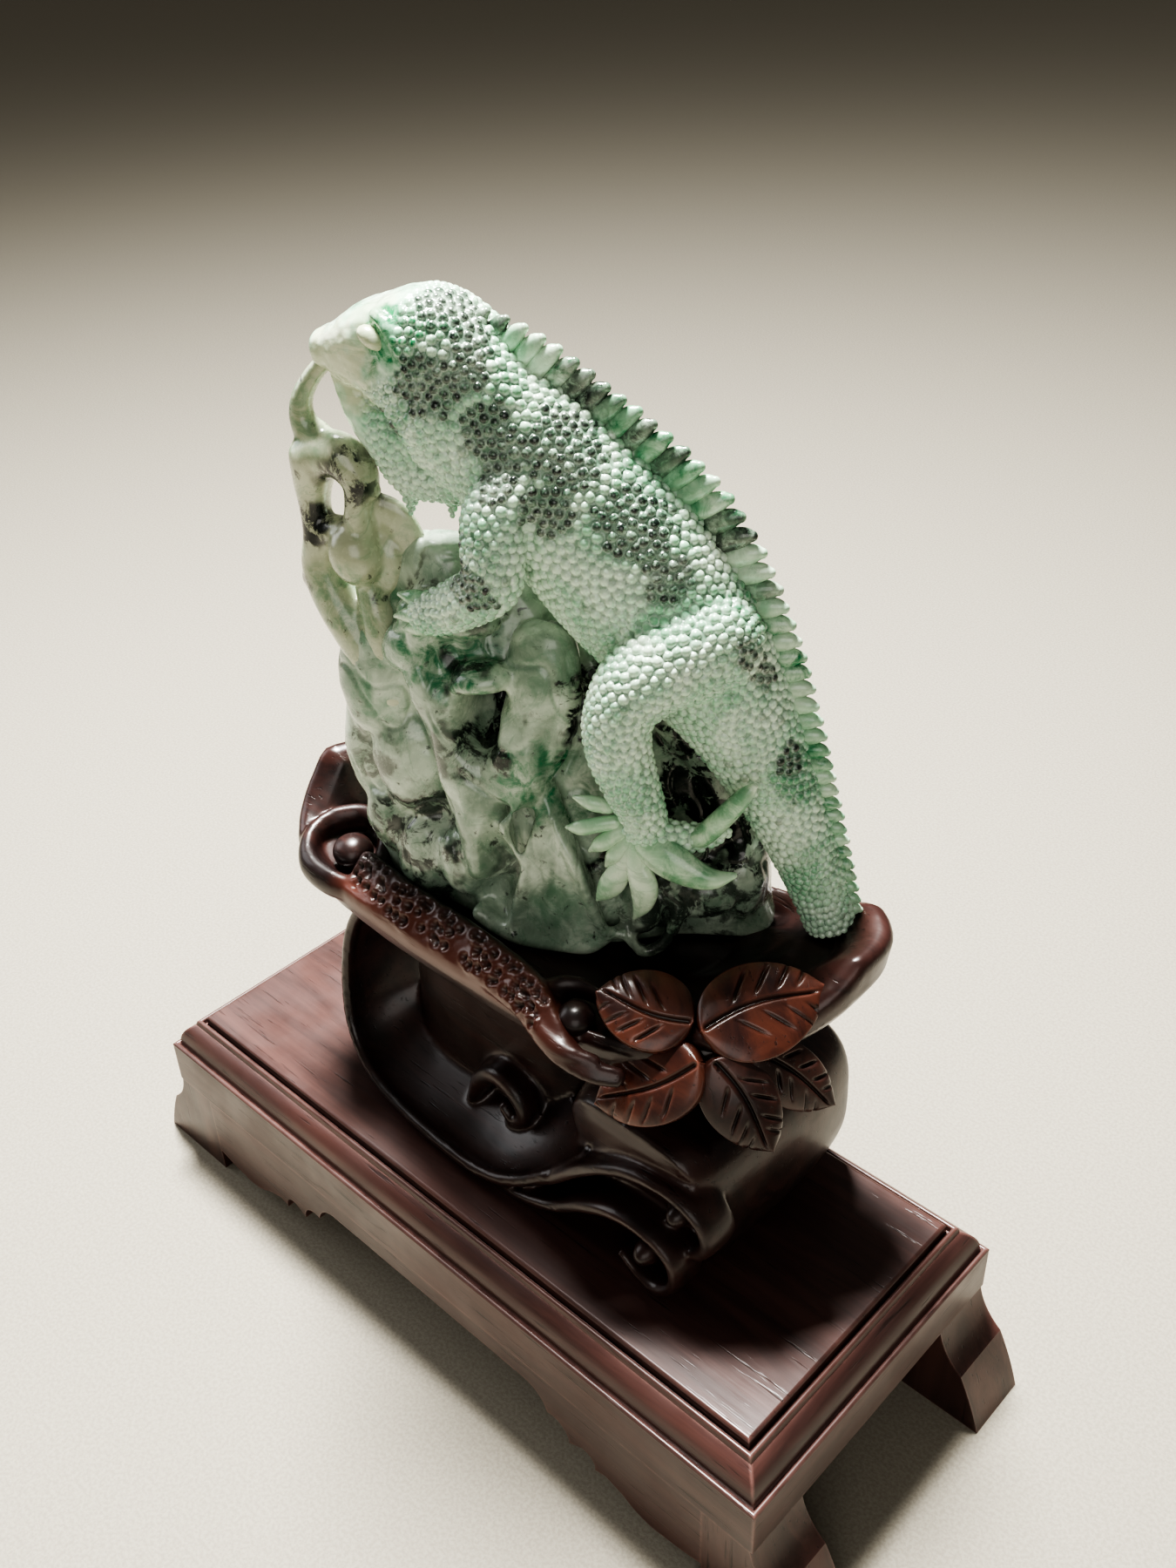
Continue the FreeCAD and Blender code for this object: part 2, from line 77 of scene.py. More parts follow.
def tube(rows, side, steps=24, around=24, square=2.0, ends=(1.0, 1.0)):
    """A closed tube. Rows are x, y, z, radius across side, radius along side."""
    rows = smooth_rows(rows, steps)
    centre, radius = rows[:, :3], rows[:, 3:]
    run = np.gradient(centre, axis=0)
    angle = np.linspace(0, 2 * math.pi, around, endpoint=False)
    power = 2.0 / square
    cos = np.sign(np.cos(angle)) * np.abs(np.cos(angle)) ** power
    sin = np.sign(np.sin(angle)) * np.abs(np.sin(angle)) ** power
    rings = []

    def ring(i, shrink, ahead):
        forward = unit(run[i])
        along = unit(np.asarray(side, float) - np.dot(side, forward) * forward)
        across = np.cross(forward, along)
        mid = centre[i] + forward * ahead
        rings.append(mid + shrink * (radius[i, 0] * cos[:, None] * across
                                     + radius[i, 1] * sin[:, None] * along))

    bulge = [min(radius[0]) * ends[0], min(radius[-1]) * ends[1]]
    round_steps = [80, 58, 34, 14]
    for degrees in round_steps:
        lean = math.radians(degrees)
        ring(0, math.cos(lean), -math.sin(lean) * bulge[0])
    for i in range(steps):
        ring(i, 1.0, 0.0)
    for degrees in reversed(round_steps):
        lean = math.radians(degrees)
        ring(-1, math.cos(lean), math.sin(lean) * bulge[1])
    verts = np.vstack(rings)
    faces = []
    count = len(rings)
    for r in range(count - 1):
        for k in range(around):
            nxt = (k + 1) % around
            faces.append((r * around + k, r * around + nxt,
                          (r + 1) * around + nxt, (r + 1) * around + k))
    faces.append(tuple(range(around))[::-1])
    faces.append(tuple((count - 1) * around + k for k in range(around)))
    return verts, faces


def ball(centre, radii, turn=None):
    """An ellipsoid; turn is an optional 3x3 rotation."""
    verts, faces = tube([(0, 0, -1e-3, 1, 1), (0, 0, 0, 1, 1), (0, 0, 1e-3, 1, 1)], (1, 0, 0), 3)
    verts = verts * np.asarray(radii, float)
    if turn is not None:
        verts = verts @ np.asarray(turn).T
    return verts + np.asarray(centre, float), faces


# %% [markdown]
# ## From volumes to one carved skin
# Overlapping volumes become one skin by remeshing them on a fine grid and
# easing the joins, which is how a clay sketch is blended with a thumb. The
# grid size is the finest detail the piece can carry, so it is chosen per piece.


# %% Pieces and fused skins
def piece(name, verts, faces):
    """A visible piece from points in millimetres."""
    mesh = bpy.data.meshes.new(name)
    mesh.from_pydata((np.asarray(verts) * MM).tolist(), [], faces)
    mesh.validate()
    obj = bpy.data.objects.new(name, mesh)
    bpy.context.scene.collection.objects.link(obj)
    mesh.shade_smooth()
    return obj


def joined(parts):
    """Several (verts, faces) pairs as one pair."""
    verts, faces, base = [], [], 0
    for part_verts, part_faces in parts:
        verts.append(part_verts)
        faces += [tuple(i + base for i in face) for face in part_faces]
        base += len(part_verts)
    return np.vstack(verts), faces


def by_speed(full):
    return full


def bake_modifiers(obj):
    """The modifiers' result becomes the piece's own mesh."""
    graph = bpy.context.evaluated_depsgraph_get()
    mesh = bpy.data.meshes.new_from_object(obj.evaluated_get(graph))
    obj.modifiers.clear()
    old = obj.data
    obj.data = mesh
    bpy.data.meshes.remove(old)
    mesh.name = obj.name
    mesh.shade_smooth()


def fuse(name, parts, grid, ease=4):
    """One closed skin around overlapping volumes, on a grid of this many millimetres."""
    obj = piece(name, *joined(parts))
    remesh = obj.modifiers.new("skin", "REMESH")
    remesh.mode = "VOXEL"
    remesh.voxel_size = grid * MM
    remesh.use_smooth_shade = True
    if ease:
        soft = obj.modifiers.new("ease", "SMOOTH")
        soft.factor = 0.5
        soft.iterations = ease
    bake_modifiers(obj)
    print(name, "faces", len(obj.data.polygons))
    return obj


# %% [markdown]
# Fine carving is done by moving the points of a finished skin. These helpers
# read the points in millimetres, put them back, and store a number on each
# point, a mask, that a finish can read later. Soft noise is measured in
# millimetres too, so that its lumps keep their size on every piece.


# %% Points, masks and noise
def points_of(obj):
    co = np.empty(len(obj.data.vertices) * 3, np.float32)
    obj.data.vertices.foreach_get("co", co)
    return co.reshape(-1, 3).astype(float) / MM


def normals_of(obj):
    nor = np.empty(len(obj.data.vertices) * 3, np.float32)
    obj.data.vertices.foreach_get("normal", nor)
    return nor.reshape(-1, 3).astype(float)


def set_points(obj, points):
    obj.data.vertices.foreach_set("co", (points * MM).astype(np.float32).ravel())
    obj.data.update()


def set_mask(obj, name, values):
    layer = obj.data.attributes.new(name, "FLOAT", "POINT")
    layer.data.foreach_set("value", np.asarray(values, np.float32))


def step(low, high, x):
    t = np.clip((np.asarray(x, float) - low) / (high - low), 0, 1)
    return t * t * (3 - 2 * t)


def lumpy(points, size, seed=0.0, octaves=3):
    """Soft noise from -1 to 1 at each point, with features about this size in mm."""
    shift = Vector((seed * 7.3, seed * 3.1, seed * 5.7))
    return np.array([noise.fractal(Vector(p) / size + shift, 0.9, 2.1, octaves)
                     for p in points.tolist()])


# %% [markdown]
# ## The jade's own directions
# The lizard lies in an upright plane that is turned on the table. Its points
# are given as how far along that plane, how far out of it towards the
# lizard's left side, and how high. This helper turns them into the frame.

# %% The lizard's plane
JADE_TURN = math.radians(25.0)
JADE_OFFSET = -7.8
ALONG = np.array([math.cos(JADE_TURN), math.sin(JADE_TURN), 0.0])
OUT = np.array([math.sin(JADE_TURN), -math.cos(JADE_TURN), 0.0])
UP = np.array([0.0, 0.0, 1.0])


def jade(rows):
    """Rows that start with along, out, up, as rows that start with x, y, z."""
    rows = np.atleast_2d(np.asarray(rows, float))
    xyz = rows[:, :1] * ALONG + (rows[:, 1:2] + JADE_OFFSET) * OUT + rows[:, 2:3] * UP
    return np.hstack([xyz, rows[:, 3:]])


def unjade(points):
    """Frame points back in the lizard's directions."""
    return np.column_stack([points @ ALONG, points @ OUT - JADE_OFFSET, points[:, 2]])


def jade_tube(rows, steps=24, around=24, square=2.0, side=None, ends=(1.0, 1.0)):
    return tube(jade(rows), OUT if side is None else side, steps, around, square, ends)


JADE_AXES = np.column_stack([ALONG, OUT, UP])


def jade_ball(centre, radii, lean=0.0):
    c, s = math.cos(math.radians(lean)), math.sin(math.radians(lean))
    tilt = np.array([[c, 0, -s], [0, 1, 0], [s, 0, c]])
    return ball(jade(centre)[0], radii, JADE_AXES @ tilt)


# %% [markdown]
# ## The lizard's body
# Torso, tail, head, limbs and throat are separate volumes, blended on a fine
# grid. The far limbs are drawn in a little, because they hug the rock.

# %% Volumes of the lizard
SPINE = [(-12, 0, 294, 18, 15), (4, 0, 284, 20.5, 16.5), (18, 0, 270, 22.5, 18.5),
         (32, 0, 255, 23.5, 19.5), (46, 0, 238.5, 21, 18), (57, 0, 222, 16.5, 15),
         (65, 0, 207, 13.2, 12.3), (73, 0, 190, 10.6, 10), (80.5, 0, 172, 8.8, 8.2),
         (86, 0, 155.5, 7.4, 7)]
SKULL = [(4, 0, 286, 15.5, 13.5), (-8, 0, 296, 17, 14.8), (-20, 0, 305.6, 17.6, 14.8),
         (-31, 0, 307.8, 12.4, 12.4), (-39.5, 0, 307.2, 8.6, 9.2), (-45.5, 0, 307.0, 5.0, 6.2)]
THROAT = [(-43, 0, 301.5, 3.2, 4.2), (-37, 0, 293, 7, 6), (-30.5, 0, 284, 8, 6),
          (-27, 0, 276.5, 7, 4.6), (-20, 0, 276, 7, 5.5), (-10, 0, 279, 10, 9)]
FORELEG = [(7, 9, 279, 10.5, 10), (2, 15.5, 275, 8.8, 8.6), (1.5, 19.5, 266, 7.6, 7.8),
           (1, 20, 258.5, 7.2, 7.2), (-7, 18.5, 251.8, 6.6, 6.8), (-15, 16.5, 247, 6.0, 6.2),
           (-19, 16, 245.3, 5.2, 5.6)]
HINDLEG = [(54, 8, 243, 14, 12), (46, 15, 241, 12.5, 11.5), (38.5, 21.5, 237, 10.5, 10.5),
           (34, 25, 229, 8.8, 8.8), (34, 25.5, 219, 8.0, 8.2), (36.5, 24.5, 209, 7.2, 7.2),
           (39, 23, 200, 6.0, 6.2), (40, 22.3, 194.5, 5.0, 5.2)]
FOOT = [(38, 22, 193.5, 4.4, 4.6), (46, 20.5, 191.5, 3.8, 4.4), (54, 18.5, 191.5, 2.6, 4.0),
        (60, 17, 194, 1.2, 2.4)]
FAR_SIDE = 0.78


def far(rows):
    return [(r[0], -FAR_SIDE * r[1]) + tuple(r[2:]) for r in rows]


lizard_parts = [jade_tube(SPINE, 60, 40, ends=(1.0, 0.12)), jade_tube(SKULL, 30, 36, 2.7),
                jade_tube(THROAT, 24, 24)]
for limb in (FORELEG, HINDLEG, FOOT):
    lizard_parts.append(jade_tube(limb, 28, 24, side=UP if limb is FOOT else ALONG))
    lizard_parts.append(jade_tube(far(limb), 28, 24, side=UP if limb is FOOT else ALONG))
for flip in (1, -1):
    lizard_parts.append(jade_ball((-15, 8.5 * flip, 296), (11, 8.0, 11)))
    lizard_parts.append(jade_tube([(-28, 9.3 * flip, 318.6, 1.6, 1.8),
                                   (-24, 11.5 * flip, 316.8, 2.2, 2.4),
                                   (-20.5, 12.8 * flip, 312, 2.4, 2.4),
                                   (-18.5, 13.2 * flip, 306, 2.0, 2.0),
                                   (-17.5, 12.4 * flip, 300, 1.5, 1.5)], 18, 14))
    lizard_parts.append(jade_ball((46, 8.5 * flip, 240), (14, 11.5, 13)))
THROAT_SPIKES = [(-36.5, 287.5, 3, -60), (-34.5, 281, 3.5, -65), (-28.2, 270, 7, -95),
                 (-16.2, 271, 7.5, -100), (-22, 272.5, 2.5, -95)]
for along, up, tall, heading in THROAT_SPIKES:
    run_along, run_up = (tall * math.cos(math.radians(heading)),
                         tall * math.sin(math.radians(heading)))
    lizard_parts.append(jade_tube([(along - run_along * 0.6, 0, up - run_up * 0.6, 3.8, 2.6),
                                   (along + run_along * 0.2, 0, up + run_up * 0.2, 2.2, 1.5),
                                   (along + run_along * 0.8, 0, up + run_up * 0.8, 0.7, 0.6)],
                                  10, 12))
lizard = fuse("lizard_skin", lizard_parts, by_speed(0.34), by_speed(20))

# %% [markdown]
# ## Beaded skin
# Every bead of the skin was ground as a small dome, packed side by side. A bump
# texture could draw them, but their outline would stay smooth, so they are
# raised in the mesh. Seeds are scattered over the skin at the bead's pitch and
# evened out, and every point then rises by how close it is to its seed. The
# same seeds decide each bead's colour, so that a dark patch is made of whole
# dark beads, as in the stone.


# %% Scatter the bead seeds
BEAD_PITCH = 2.4


def bead_pitch(local):
    """Wanted distance between beads: finer on the head, throat and lower limbs."""
    along, up = local[:, 0], local[:, 2]
    pitch = np.full(len(local), BEAD_PITCH)
    pitch -= 0.35 * step(-6, -30, along)
    pitch -= 0.3 * step(280, 268, up) * step(2, -12, along)
    pitch -= 0.25 * step(255, 225, up)
    pitch -= 0.15 * step(205, 175, up)
    return pitch


def scatter_seeds(points, pitch, seed):
    """Dart throwing: an even random cover with a distance that changes over the surface."""
    cell = 3.0
    cells, seeds = {}, []
    around = [(a, b, c) for a in (-1, 0, 1) for b in (-1, 0, 1) for c in (-1, 0, 1)]
    for i in np.random.default_rng(seed).permutation(len(points)):
        x, y, z = points[i]
        gap = (pitch[i] * 0.84) ** 2
        at = (int(x // cell), int(y // cell), int(z // cell))
        close = any((x - q[0]) ** 2 + (y - q[1]) ** 2 + (z - q[2]) ** 2 < gap
                    for a, b, c in around
                    for q in cells.get((at[0] + a, at[1] + b, at[2] + c), ()))
        if not close:
            cells.setdefault(at, []).append((x, y, z))
            seeds.append((x, y, z))
    return np.array(seeds)


# %% [markdown]
# A few rounds of moving each seed to the middle of the skin that it owns pack
# the beads almost like a honeycomb. A bead's radius is half the mean distance
# to its three nearest neighbours. A point's distance to its own seed, over that
# radius, is zero in the bead's middle and about one in the groove.

# %% Relax the seeds and raise the beads
skin = points_of(lizard)
skin_local = unjade(skin)
pitch = bead_pitch(skin_local)
MOST_CANDIDATES = 60000
NEIGHBOURS = 3
candidates = np.random.default_rng(3).permutation(len(skin))[:MOST_CANDIDATES]
seeds = scatter_seeds(skin[candidates], pitch[candidates], 5)


def nearest(seed_points, points, count):
    tree = kdtree.KDTree(len(seed_points))
    for i, p in enumerate(seed_points):
        tree.insert(Vector(p), i)
    tree.balance()
    found = [tree.find_n(Vector(p), count) for p in points.tolist()]
    owner = np.array([f[0][1] for f in found])
    apart = np.array([[g[2] for g in f] for f in found])
    return owner, apart


for _ in range(by_speed(3)):
    owner, _apart = nearest(seeds, skin, 1)
    total = np.zeros_like(seeds)
    number = np.bincount(owner, minlength=len(seeds))
    for axis in range(3):
        total[:, axis] = np.bincount(owner, skin[:, axis], len(seeds))
    held = number > 0
    seeds[held] = total[held] / number[held, None]
owner, apart = nearest(seeds, skin, 1)
_itself, spacing = nearest(seeds, seeds, 1 + NEIGHBOURS)
bead_radius = 0.5 * spacing[:, 1:].mean(1)
rim = apart[:, 0] / bead_radius[owner]
seed_local = unjade(seeds)
print("beads", len(seeds), "mean radius", round(float(bead_radius.mean()), 2))

# %% [markdown]
# The snout and the flat top of the head were left nearly plain, so the beads
# fade out along a line behind the brow and soft pebbles take over. A bead is a
# round dome on a level ground. A shallow socket is pressed in for each eye, and
# the tail's end is kept level where it rests on the stand.

# %% Bead relief
front_line = -20 - 15 * step(309, 297, skin_local[:, 2])
beaded = step(front_line - 3.0, front_line + 1.5, skin_local[:, 0])
beaded *= 1 - 0.8 * step(321.5, 324.5, skin_local[:, 2])
dome = np.clip(1 - rim ** 2.4, 0, 1) ** 0.62
skin = skin + normals_of(lizard) * ((0.74 * bead_radius[owner] * dome - 0.4)
                                    * beaded)[:, None]
pebbles = lumpy(skin_local, 2.4, 19.0, 1) * 0.22 * (1 - beaded) * step(12, 4, skin_local[:, 0])
skin += normals_of(lizard) * pebbles[:, None]
socket = (unjade(skin) * (1, 0, 1) + np.abs(unjade(skin)) * (0, 1, 0)
          - (-30.5, 13, 311)) / (4.5, 5, 6.5)
skin -= normals_of(lizard) * (1.7 * np.exp(-(socket ** 2).sum(1) * 1.3))[:, None]
TAIL_STARTS, TAIL_REST = 70, 153.6
skin[:, 2] = np.where(skin_local[:, 0] > TAIL_STARTS, np.maximum(skin[:, 2], TAIL_REST),
                      skin[:, 2])
set_points(lizard, skin)

# %% [markdown]
# ## Dark patches, bead by bead
# The carver turned the dark veins of the stone into markings. Each patch is a
# soft ball in the stone; a bead is dark when its middle is well inside. On a
# dark bead only the polished top stays dark and the ground rim stays pale. Two
# more masks hold painted light: a pale ring on each bead's shoulder, partly the
# matte ground and partly painted highlight, and a darker groove, painted shade.

# %% Markings of the skin
DARK_PATCHES = [(-9, 5, 323, 9, 0.85), (-4, 9, 316, 7, 0.6), (-13.5, 15, 305, 8.5, 0.95),
                (-5, 14, 309, 7, 0.55), (1, 15, 294, 8.5, 0.8), (4, 17, 284, 6, 0.6),
                (19, 15, 292, 10.5, 1.0), (25, 8, 297, 7, 0.8), (15, 19, 278, 6.5, 0.85),
                (39, 17, 277, 11.5, 1.0), (46, 18, 264, 7.5, 0.95), (61, 12, 244, 5.5, 0.6),
                (66, 8, 236, 5, 0.6), (76, 9, 213, 5, 0.9), (-2, 23, 259, 7, 0.8),
                (-7, 20, 270, 4, 0.6), (-26, 8, 293, 5, 0.6), (31, 22, 236, 3, 0.7),
                (77, 7, 181, 7, 0.35), (33, 30, 219, 4, 0.4), (2, -14, 300, 12, 0.8),
                (30, -18, 272, 12, 0.9), (52, -15, 240, 10, 0.7), (-16, -12, 304, 8, 0.7)]
GREEN_TINTS = [(-21, 12, 314, 9, 0.9), (-14, 12, 316, 7, 0.7), (-26, 14, 300, 8, 0.5),
               (8, 14, 298, 12, 0.5), (30, 12, 288, 10, 0.45), (62, 6, 252, 9, 0.7),
               (50, 12, 250, 12, 0.35), (40, 22, 230, 9, 0.3), (78, 6, 206, 9, 0.6),
               (82, 4, 178, 9, 0.4), (-3, 22, 268, 9, 0.5), (36, 26, 205, 8, 0.4),
               (10, -14, 290, 14, 0.6), (44, -16, 250, 14, 0.6)]


def marked(local, patches, ragged, seed):
    """How strongly each point lies in the soft patches; ragged frays their edges."""
    fray = lumpy(local, 7.0, seed) * ragged
    strength = np.zeros(len(local))
    for along, out, up, radius, power in patches:
        away = np.linalg.norm(local - (along, out, up), axis=1) / radius
        strength = np.maximum(strength, power * step(1.25, 0.75, away + fray))
    return strength


luck = np.random.default_rng(11).random(len(seeds))
in_patch = marked(seed_local, DARK_PATCHES, 0.30, 1.0)
bead_dark = step(0.36, 0.52, in_patch + 0.16 * (luck - 0.5))
bead_dark = np.maximum(bead_dark * (0.85 + 0.15 * luck), np.where(luck > 0.99, 0.5, 0.0))
top_of_bead = step(1.0, 0.84, rim)
dark_skin = bead_dark[owner] * (0.45 + 0.55 * top_of_bead)
green_skin = marked(skin_local, GREEN_TINTS, 0.5, 2.0)
set_mask(lizard, "dark", dark_skin * (0.25 + 0.75 * beaded))
set_mask(lizard, "green", np.clip(green_skin * (0.7 + 0.3 * luck[owner]), 0, 1))
# pale ring on each bead's shoulder: partly the pale matte ground, partly painted highlight
set_mask(lizard, "ring", step(0.74, 0.90, rim) * step(1.10, 0.96, rim) * beaded
         * (1 - 0.35 * bead_dark[owner]))
# painted shade: the groove between the beads is darkened
set_mask(lizard, "groove_shade", step(0.96, 1.12, rim) * beaded)
set_mask(lizard, "bead_tone", 0.5 + (luck[owner] - 0.5) * beaded)
set_mask(lizard, "cream", marked(skin_local, [(-40, 8, 306, 11, 0.8), (-38, 6, 298, 7, 0.5),
                                              (-30, 9, 321, 7, 0.5)], 0.5, 15.0))
print("dark beads", int((bead_dark > 0.5).sum()), "of", len(seeds))
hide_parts("lizard_torso", "lizard_tail", "lizard_head", "lizard_dewlap",
            "lizard_foreleg_left", "lizard_foreleg_right", "lizard_hindleg_left",
            "lizard_hindleg_right")

# %% [markdown]
# ## Crest
# The crest is a row of rounded, leaf-like blades that stand square to the back.
# They are largest over the shoulders and sink to low lobes down the tail. Some
# blades are dark, where a vein of the stone crosses them. Each is a short fat
# tube: a flat triangle would look like a saw.

# %% Crest blades
CREST_LINE = [(-9, 315), (-2, 311), (10, 303.5), (24, 293.5), (36, 284.5), (47, 274), (56, 261),
              (63, 246), (69, 231), (74, 217), (78.5, 203), (83, 188), (88, 171), (91.5, 157)]
crest_path = smooth_rows(CREST_LINE, 400)
crest_length = np.r_[0, np.cumsum(np.linalg.norm(np.diff(crest_path, axis=0), axis=1))]
chance = random.Random(8)
blades, blade_dark, blade_green = [], [], []
DARK_BLADES = {0: 0.7, 1: 0.9, 5: 0.6, 6: 0.9, 7: 1.0, 8: 0.5, 10: 0.9, 12: 0.8, 16: 0.8,
               17: 0.9, 20: 0.6}
place, index = 2.0, 0
while place < crest_length[-1] - 2:
    share = place / crest_length[-1]
    tall = np.interp(share, [0, 0.06, 0.35, 0.55, 0.78, 1], [4.8, 7.8, 8.8, 7.8, 5.0, 3.0])
    root = np.array([np.interp(place, crest_length, crest_path[:, k]) for k in (0, 1)])
    run = unit([np.interp(place + 2, crest_length, crest_path[:, k])
                - np.interp(place - 2, crest_length, crest_path[:, k]) for k in (0, 1)])
    up = np.array([-run[1], run[0]])
    sway = chance.uniform(-0.5, 0.5)
    fat = np.interp(share, [0, 0.1, 0.5, 1], [1.9, 2.6, 2.65, 1.8])
    rows = []
    for lift, lean, wide, thick in ((-0.45, -0.12, 0.85, 0.9), (0.0, -0.04, 1.05, 1.0),
                                    (0.40, 0.02, 1.08, 0.95), (0.74, 0.10, 0.88, 0.80),
                                    (0.94, 0.20, 0.52, 0.50)):
        spot = root + up * tall * lift + run * tall * lean
        rows.append((spot[0], sway * lift, spot[1], fat * wide, 2.3 * thick * fat / 2.6))
    blades.append(jade_tube(rows, 14, 16, 2.0))
    size = len(blades[-1][0])
    blade_dark += [DARK_BLADES.get(index, 0.12 * chance.random())] * size
    blade_green += [chance.choice((0.1, 0.3, 0.8))] * size
    place += np.interp(share, [0, 0.5, 1], [4.6, 4.8, 3.6]) * chance.uniform(0.93, 1.07)
    index += 1
crest = piece("crest", *joined(blades))
crest_fray = 0.5 + 0.5 * lumpy(points_of(crest), 2.5, 4.0)
set_mask(crest, "dark", np.clip(np.array(blade_dark) * (0.6 + 0.6 * crest_fray), 0, 1))
set_mask(crest, "green", np.clip(np.array(blade_green) * crest_fray * 1.2, 0, 1))
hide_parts("lizard_crest")
print("crest blades", index)

# %% [markdown]
# ## Eyes
# Each eye is a smooth tear-shaped swelling in a shallow socket, with no pupil.
# A tilted ball gives that shape. Both eyes are one piece.

# %% Eyes
eyes = piece("eyes", *joined([jade_ball((-28.2, 11.5 * flip, 313.8), (4.0, 2.8, 2.4), -32)
                              for flip in (1, -1)]))
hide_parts("lizard_eyes")

# %% [markdown]
# ## Hands and hind claws
# The hind foot has a long crescent, one straight toe, two that point down and a
# fan of small ones. The hands grip the rock with short fingers. Each is a
# tapered tube, a little flattened. They are joined and not fused with the skin,
# because they were polished smooth and the skin was beaded.

# %% Claws
CRESCENT = [(38, 21.5, 190.5, 3.0, 2.6), (41, 22.5, 189, 5.2, 3.6), (46.8, 24, 186.3, 5.6, 3.8),
            (53.4, 24.6, 183.8, 4.3, 3.2), (58.5, 24.3, 183.0, 2.9, 2.4),
            (63.5, 23, 184.2, 0.9, 0.9)]
STRAIGHT = [(50, 18.5, 190, 2.8, 2.8), (54.5, 20, 193.3, 3.0, 2.8), (60.7, 20.5, 201.5, 2.8, 2.6),
            (65, 20, 207.5, 2.2, 2.1), (67.2, 19.8, 210.6, 1.0, 1.0)]
DOWN_A = [(35, 21.5, 187, 2.4, 2.2), (33.2, 22.5, 181, 2.8, 2.0), (30.6, 22.8, 175, 3.6, 1.8),
          (28, 22.3, 170.5, 2.6, 1.5), (25.5, 21.5, 166.8, 0.5, 0.5)]
DOWN_B = [(37, 21.5, 188.5, 2.6, 2.4), (37.5, 23, 182, 3.4, 2.2), (39.5, 24, 176.3, 4.0, 2.2),
          (38.8, 23.5, 169.5, 2.8, 1.8), (36.2, 22.3, 163.4, 0.5, 0.5)]
TOES = [[(29, 20, 197.5, 2.2, 2), (24.5, 21.5, 198.8, 2.2, 1.8), (20, 20.8, 199.2, 0.6, 0.6)],
        [(31, 21, 193.5, 2.2, 2), (26.5, 22.3, 192.6, 2.2, 1.8), (21.8, 23, 191.2, 2.2, 1.6),
         (18, 22, 190.0, 0.6, 0.6)],
        [(34, 21, 192, 2.2, 2), (31, 22.2, 190, 2.2, 1.8), (27.6, 22.8, 187, 2.4, 1.6),
         (24, 21.8, 183.4, 0.5, 0.5)],
        [(36, 21, 190, 2.2, 2), (33.5, 22.2, 187, 2.2, 1.8), (31, 22.8, 183.4, 2.4, 1.6),
         (28.4, 21.8, 179.2, 0.5, 0.5)]]
FINGERS = [[(-17, 15.5, 247.5, 3, 3), (-22.5, 15.5, 249, 2.4, 2.2), (-27.5, 14, 248.8, 0.6, 0.6)],
           [(-17, 16.5, 245.5, 3, 3), (-23, 16.5, 244.8, 2.5, 2.3), (-29, 14.5, 242.6, 0.6, 0.6)],
           [(-16, 16.5, 243.5, 3, 3), (-21.5, 17, 241.8, 2.4, 2.2), (-26.5, 15, 239.4, 0.6, 0.6)]]
claw_parts = []
for claw in [CRESCENT, STRAIGHT, DOWN_A, DOWN_B] + TOES + FINGERS:
    claw_parts.append(jade_tube(claw, 24, 20, 2.0))
    claw_parts.append(jade_tube(far(claw), 24, 20, 2.0))
claws = piece("claws", *joined(claw_parts))
print("claws and fingers", len(claw_parts))
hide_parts("lizard_foot_left", "lizard_foot_right")

# %% [markdown]
# ## Rock
# The rock under the lizard is one polished mass with folds, lobes and a deep
# hollow. It could be sculpted, but outlines at rising heights can be read and
# changed later. A smooth ring through a few points gives each outline.

# %% Rings and stacked rings
def closed_ring(points, count):
    """A closed smooth ring through the points."""
    pts = np.asarray(points, float)
    wrapped = np.vstack([pts[-2:], pts, pts[:3]])
    dense = smooth_rows(wrapped, (len(wrapped) - 1) * 40 + 1)
    dense = dense[80:80 + len(pts) * 40]
    return dense[(np.arange(count) * len(dense) / count).astype(int)]


def stacked(rings):
    """Rings of equal count, closed top and bottom."""
    count = len(rings[0])
    faces = [(r * count + k, r * count + (k + 1) % count,
              (r + 1) * count + (k + 1) % count, (r + 1) * count + k)
             for r in range(len(rings) - 1) for k in range(count)]
    faces.append(tuple(range(count))[::-1])
    faces.append(tuple((len(rings) - 1) * count + k for k in range(count)))
    return np.vstack(rings), faces


# %% [markdown]
# Each level is the same outline made smaller and shifted. The lobes, the folds
# and the wavy hem at the foot are volumes of their own, and all are fused.

# %% Levels, folds and lobes of the rock
ROCK_OUTLINE = [(-58, -16), (-50, -3), (-25, 8), (1, 16), (26, 13), (44, 4), (66, -2),
                (66, -14), (44, -24), (4, -30), (-38, -28)]
ROCK_LEVELS = [(143.5, 0.98, 0.98, 0, 0), (147, 1, 1, 0, 0), (156, 0.99, 0.96, -0.5, 0),
               (168, 0.99, 0.88, -1, -1), (180, 0.97, 0.80, -3, -2), (192, 0.92, 0.74, -5, -2),
               (205, 0.82, 0.68, -10, -2), (218, 0.68, 0.62, -17, -1), (230, 0.54, 0.60, -21.5, 0),
               (241, 0.40, 0.54, -23, 0), (252, 0.26, 0.40, -22.5, 0), (258, 0.14, 0.26, -21, 0)]
rock_ring = closed_ring(ROCK_OUTLINE, 96)
rock_rings = []
for up, wide, deep, shift_along, shift_out in smooth_rows(ROCK_LEVELS, 40):
    level = np.column_stack([rock_ring[:, 0] * wide + shift_along,
                             rock_ring[:, 1] * deep + shift_out, np.full(len(rock_ring), up)])
    rock_rings.append(jade(level))
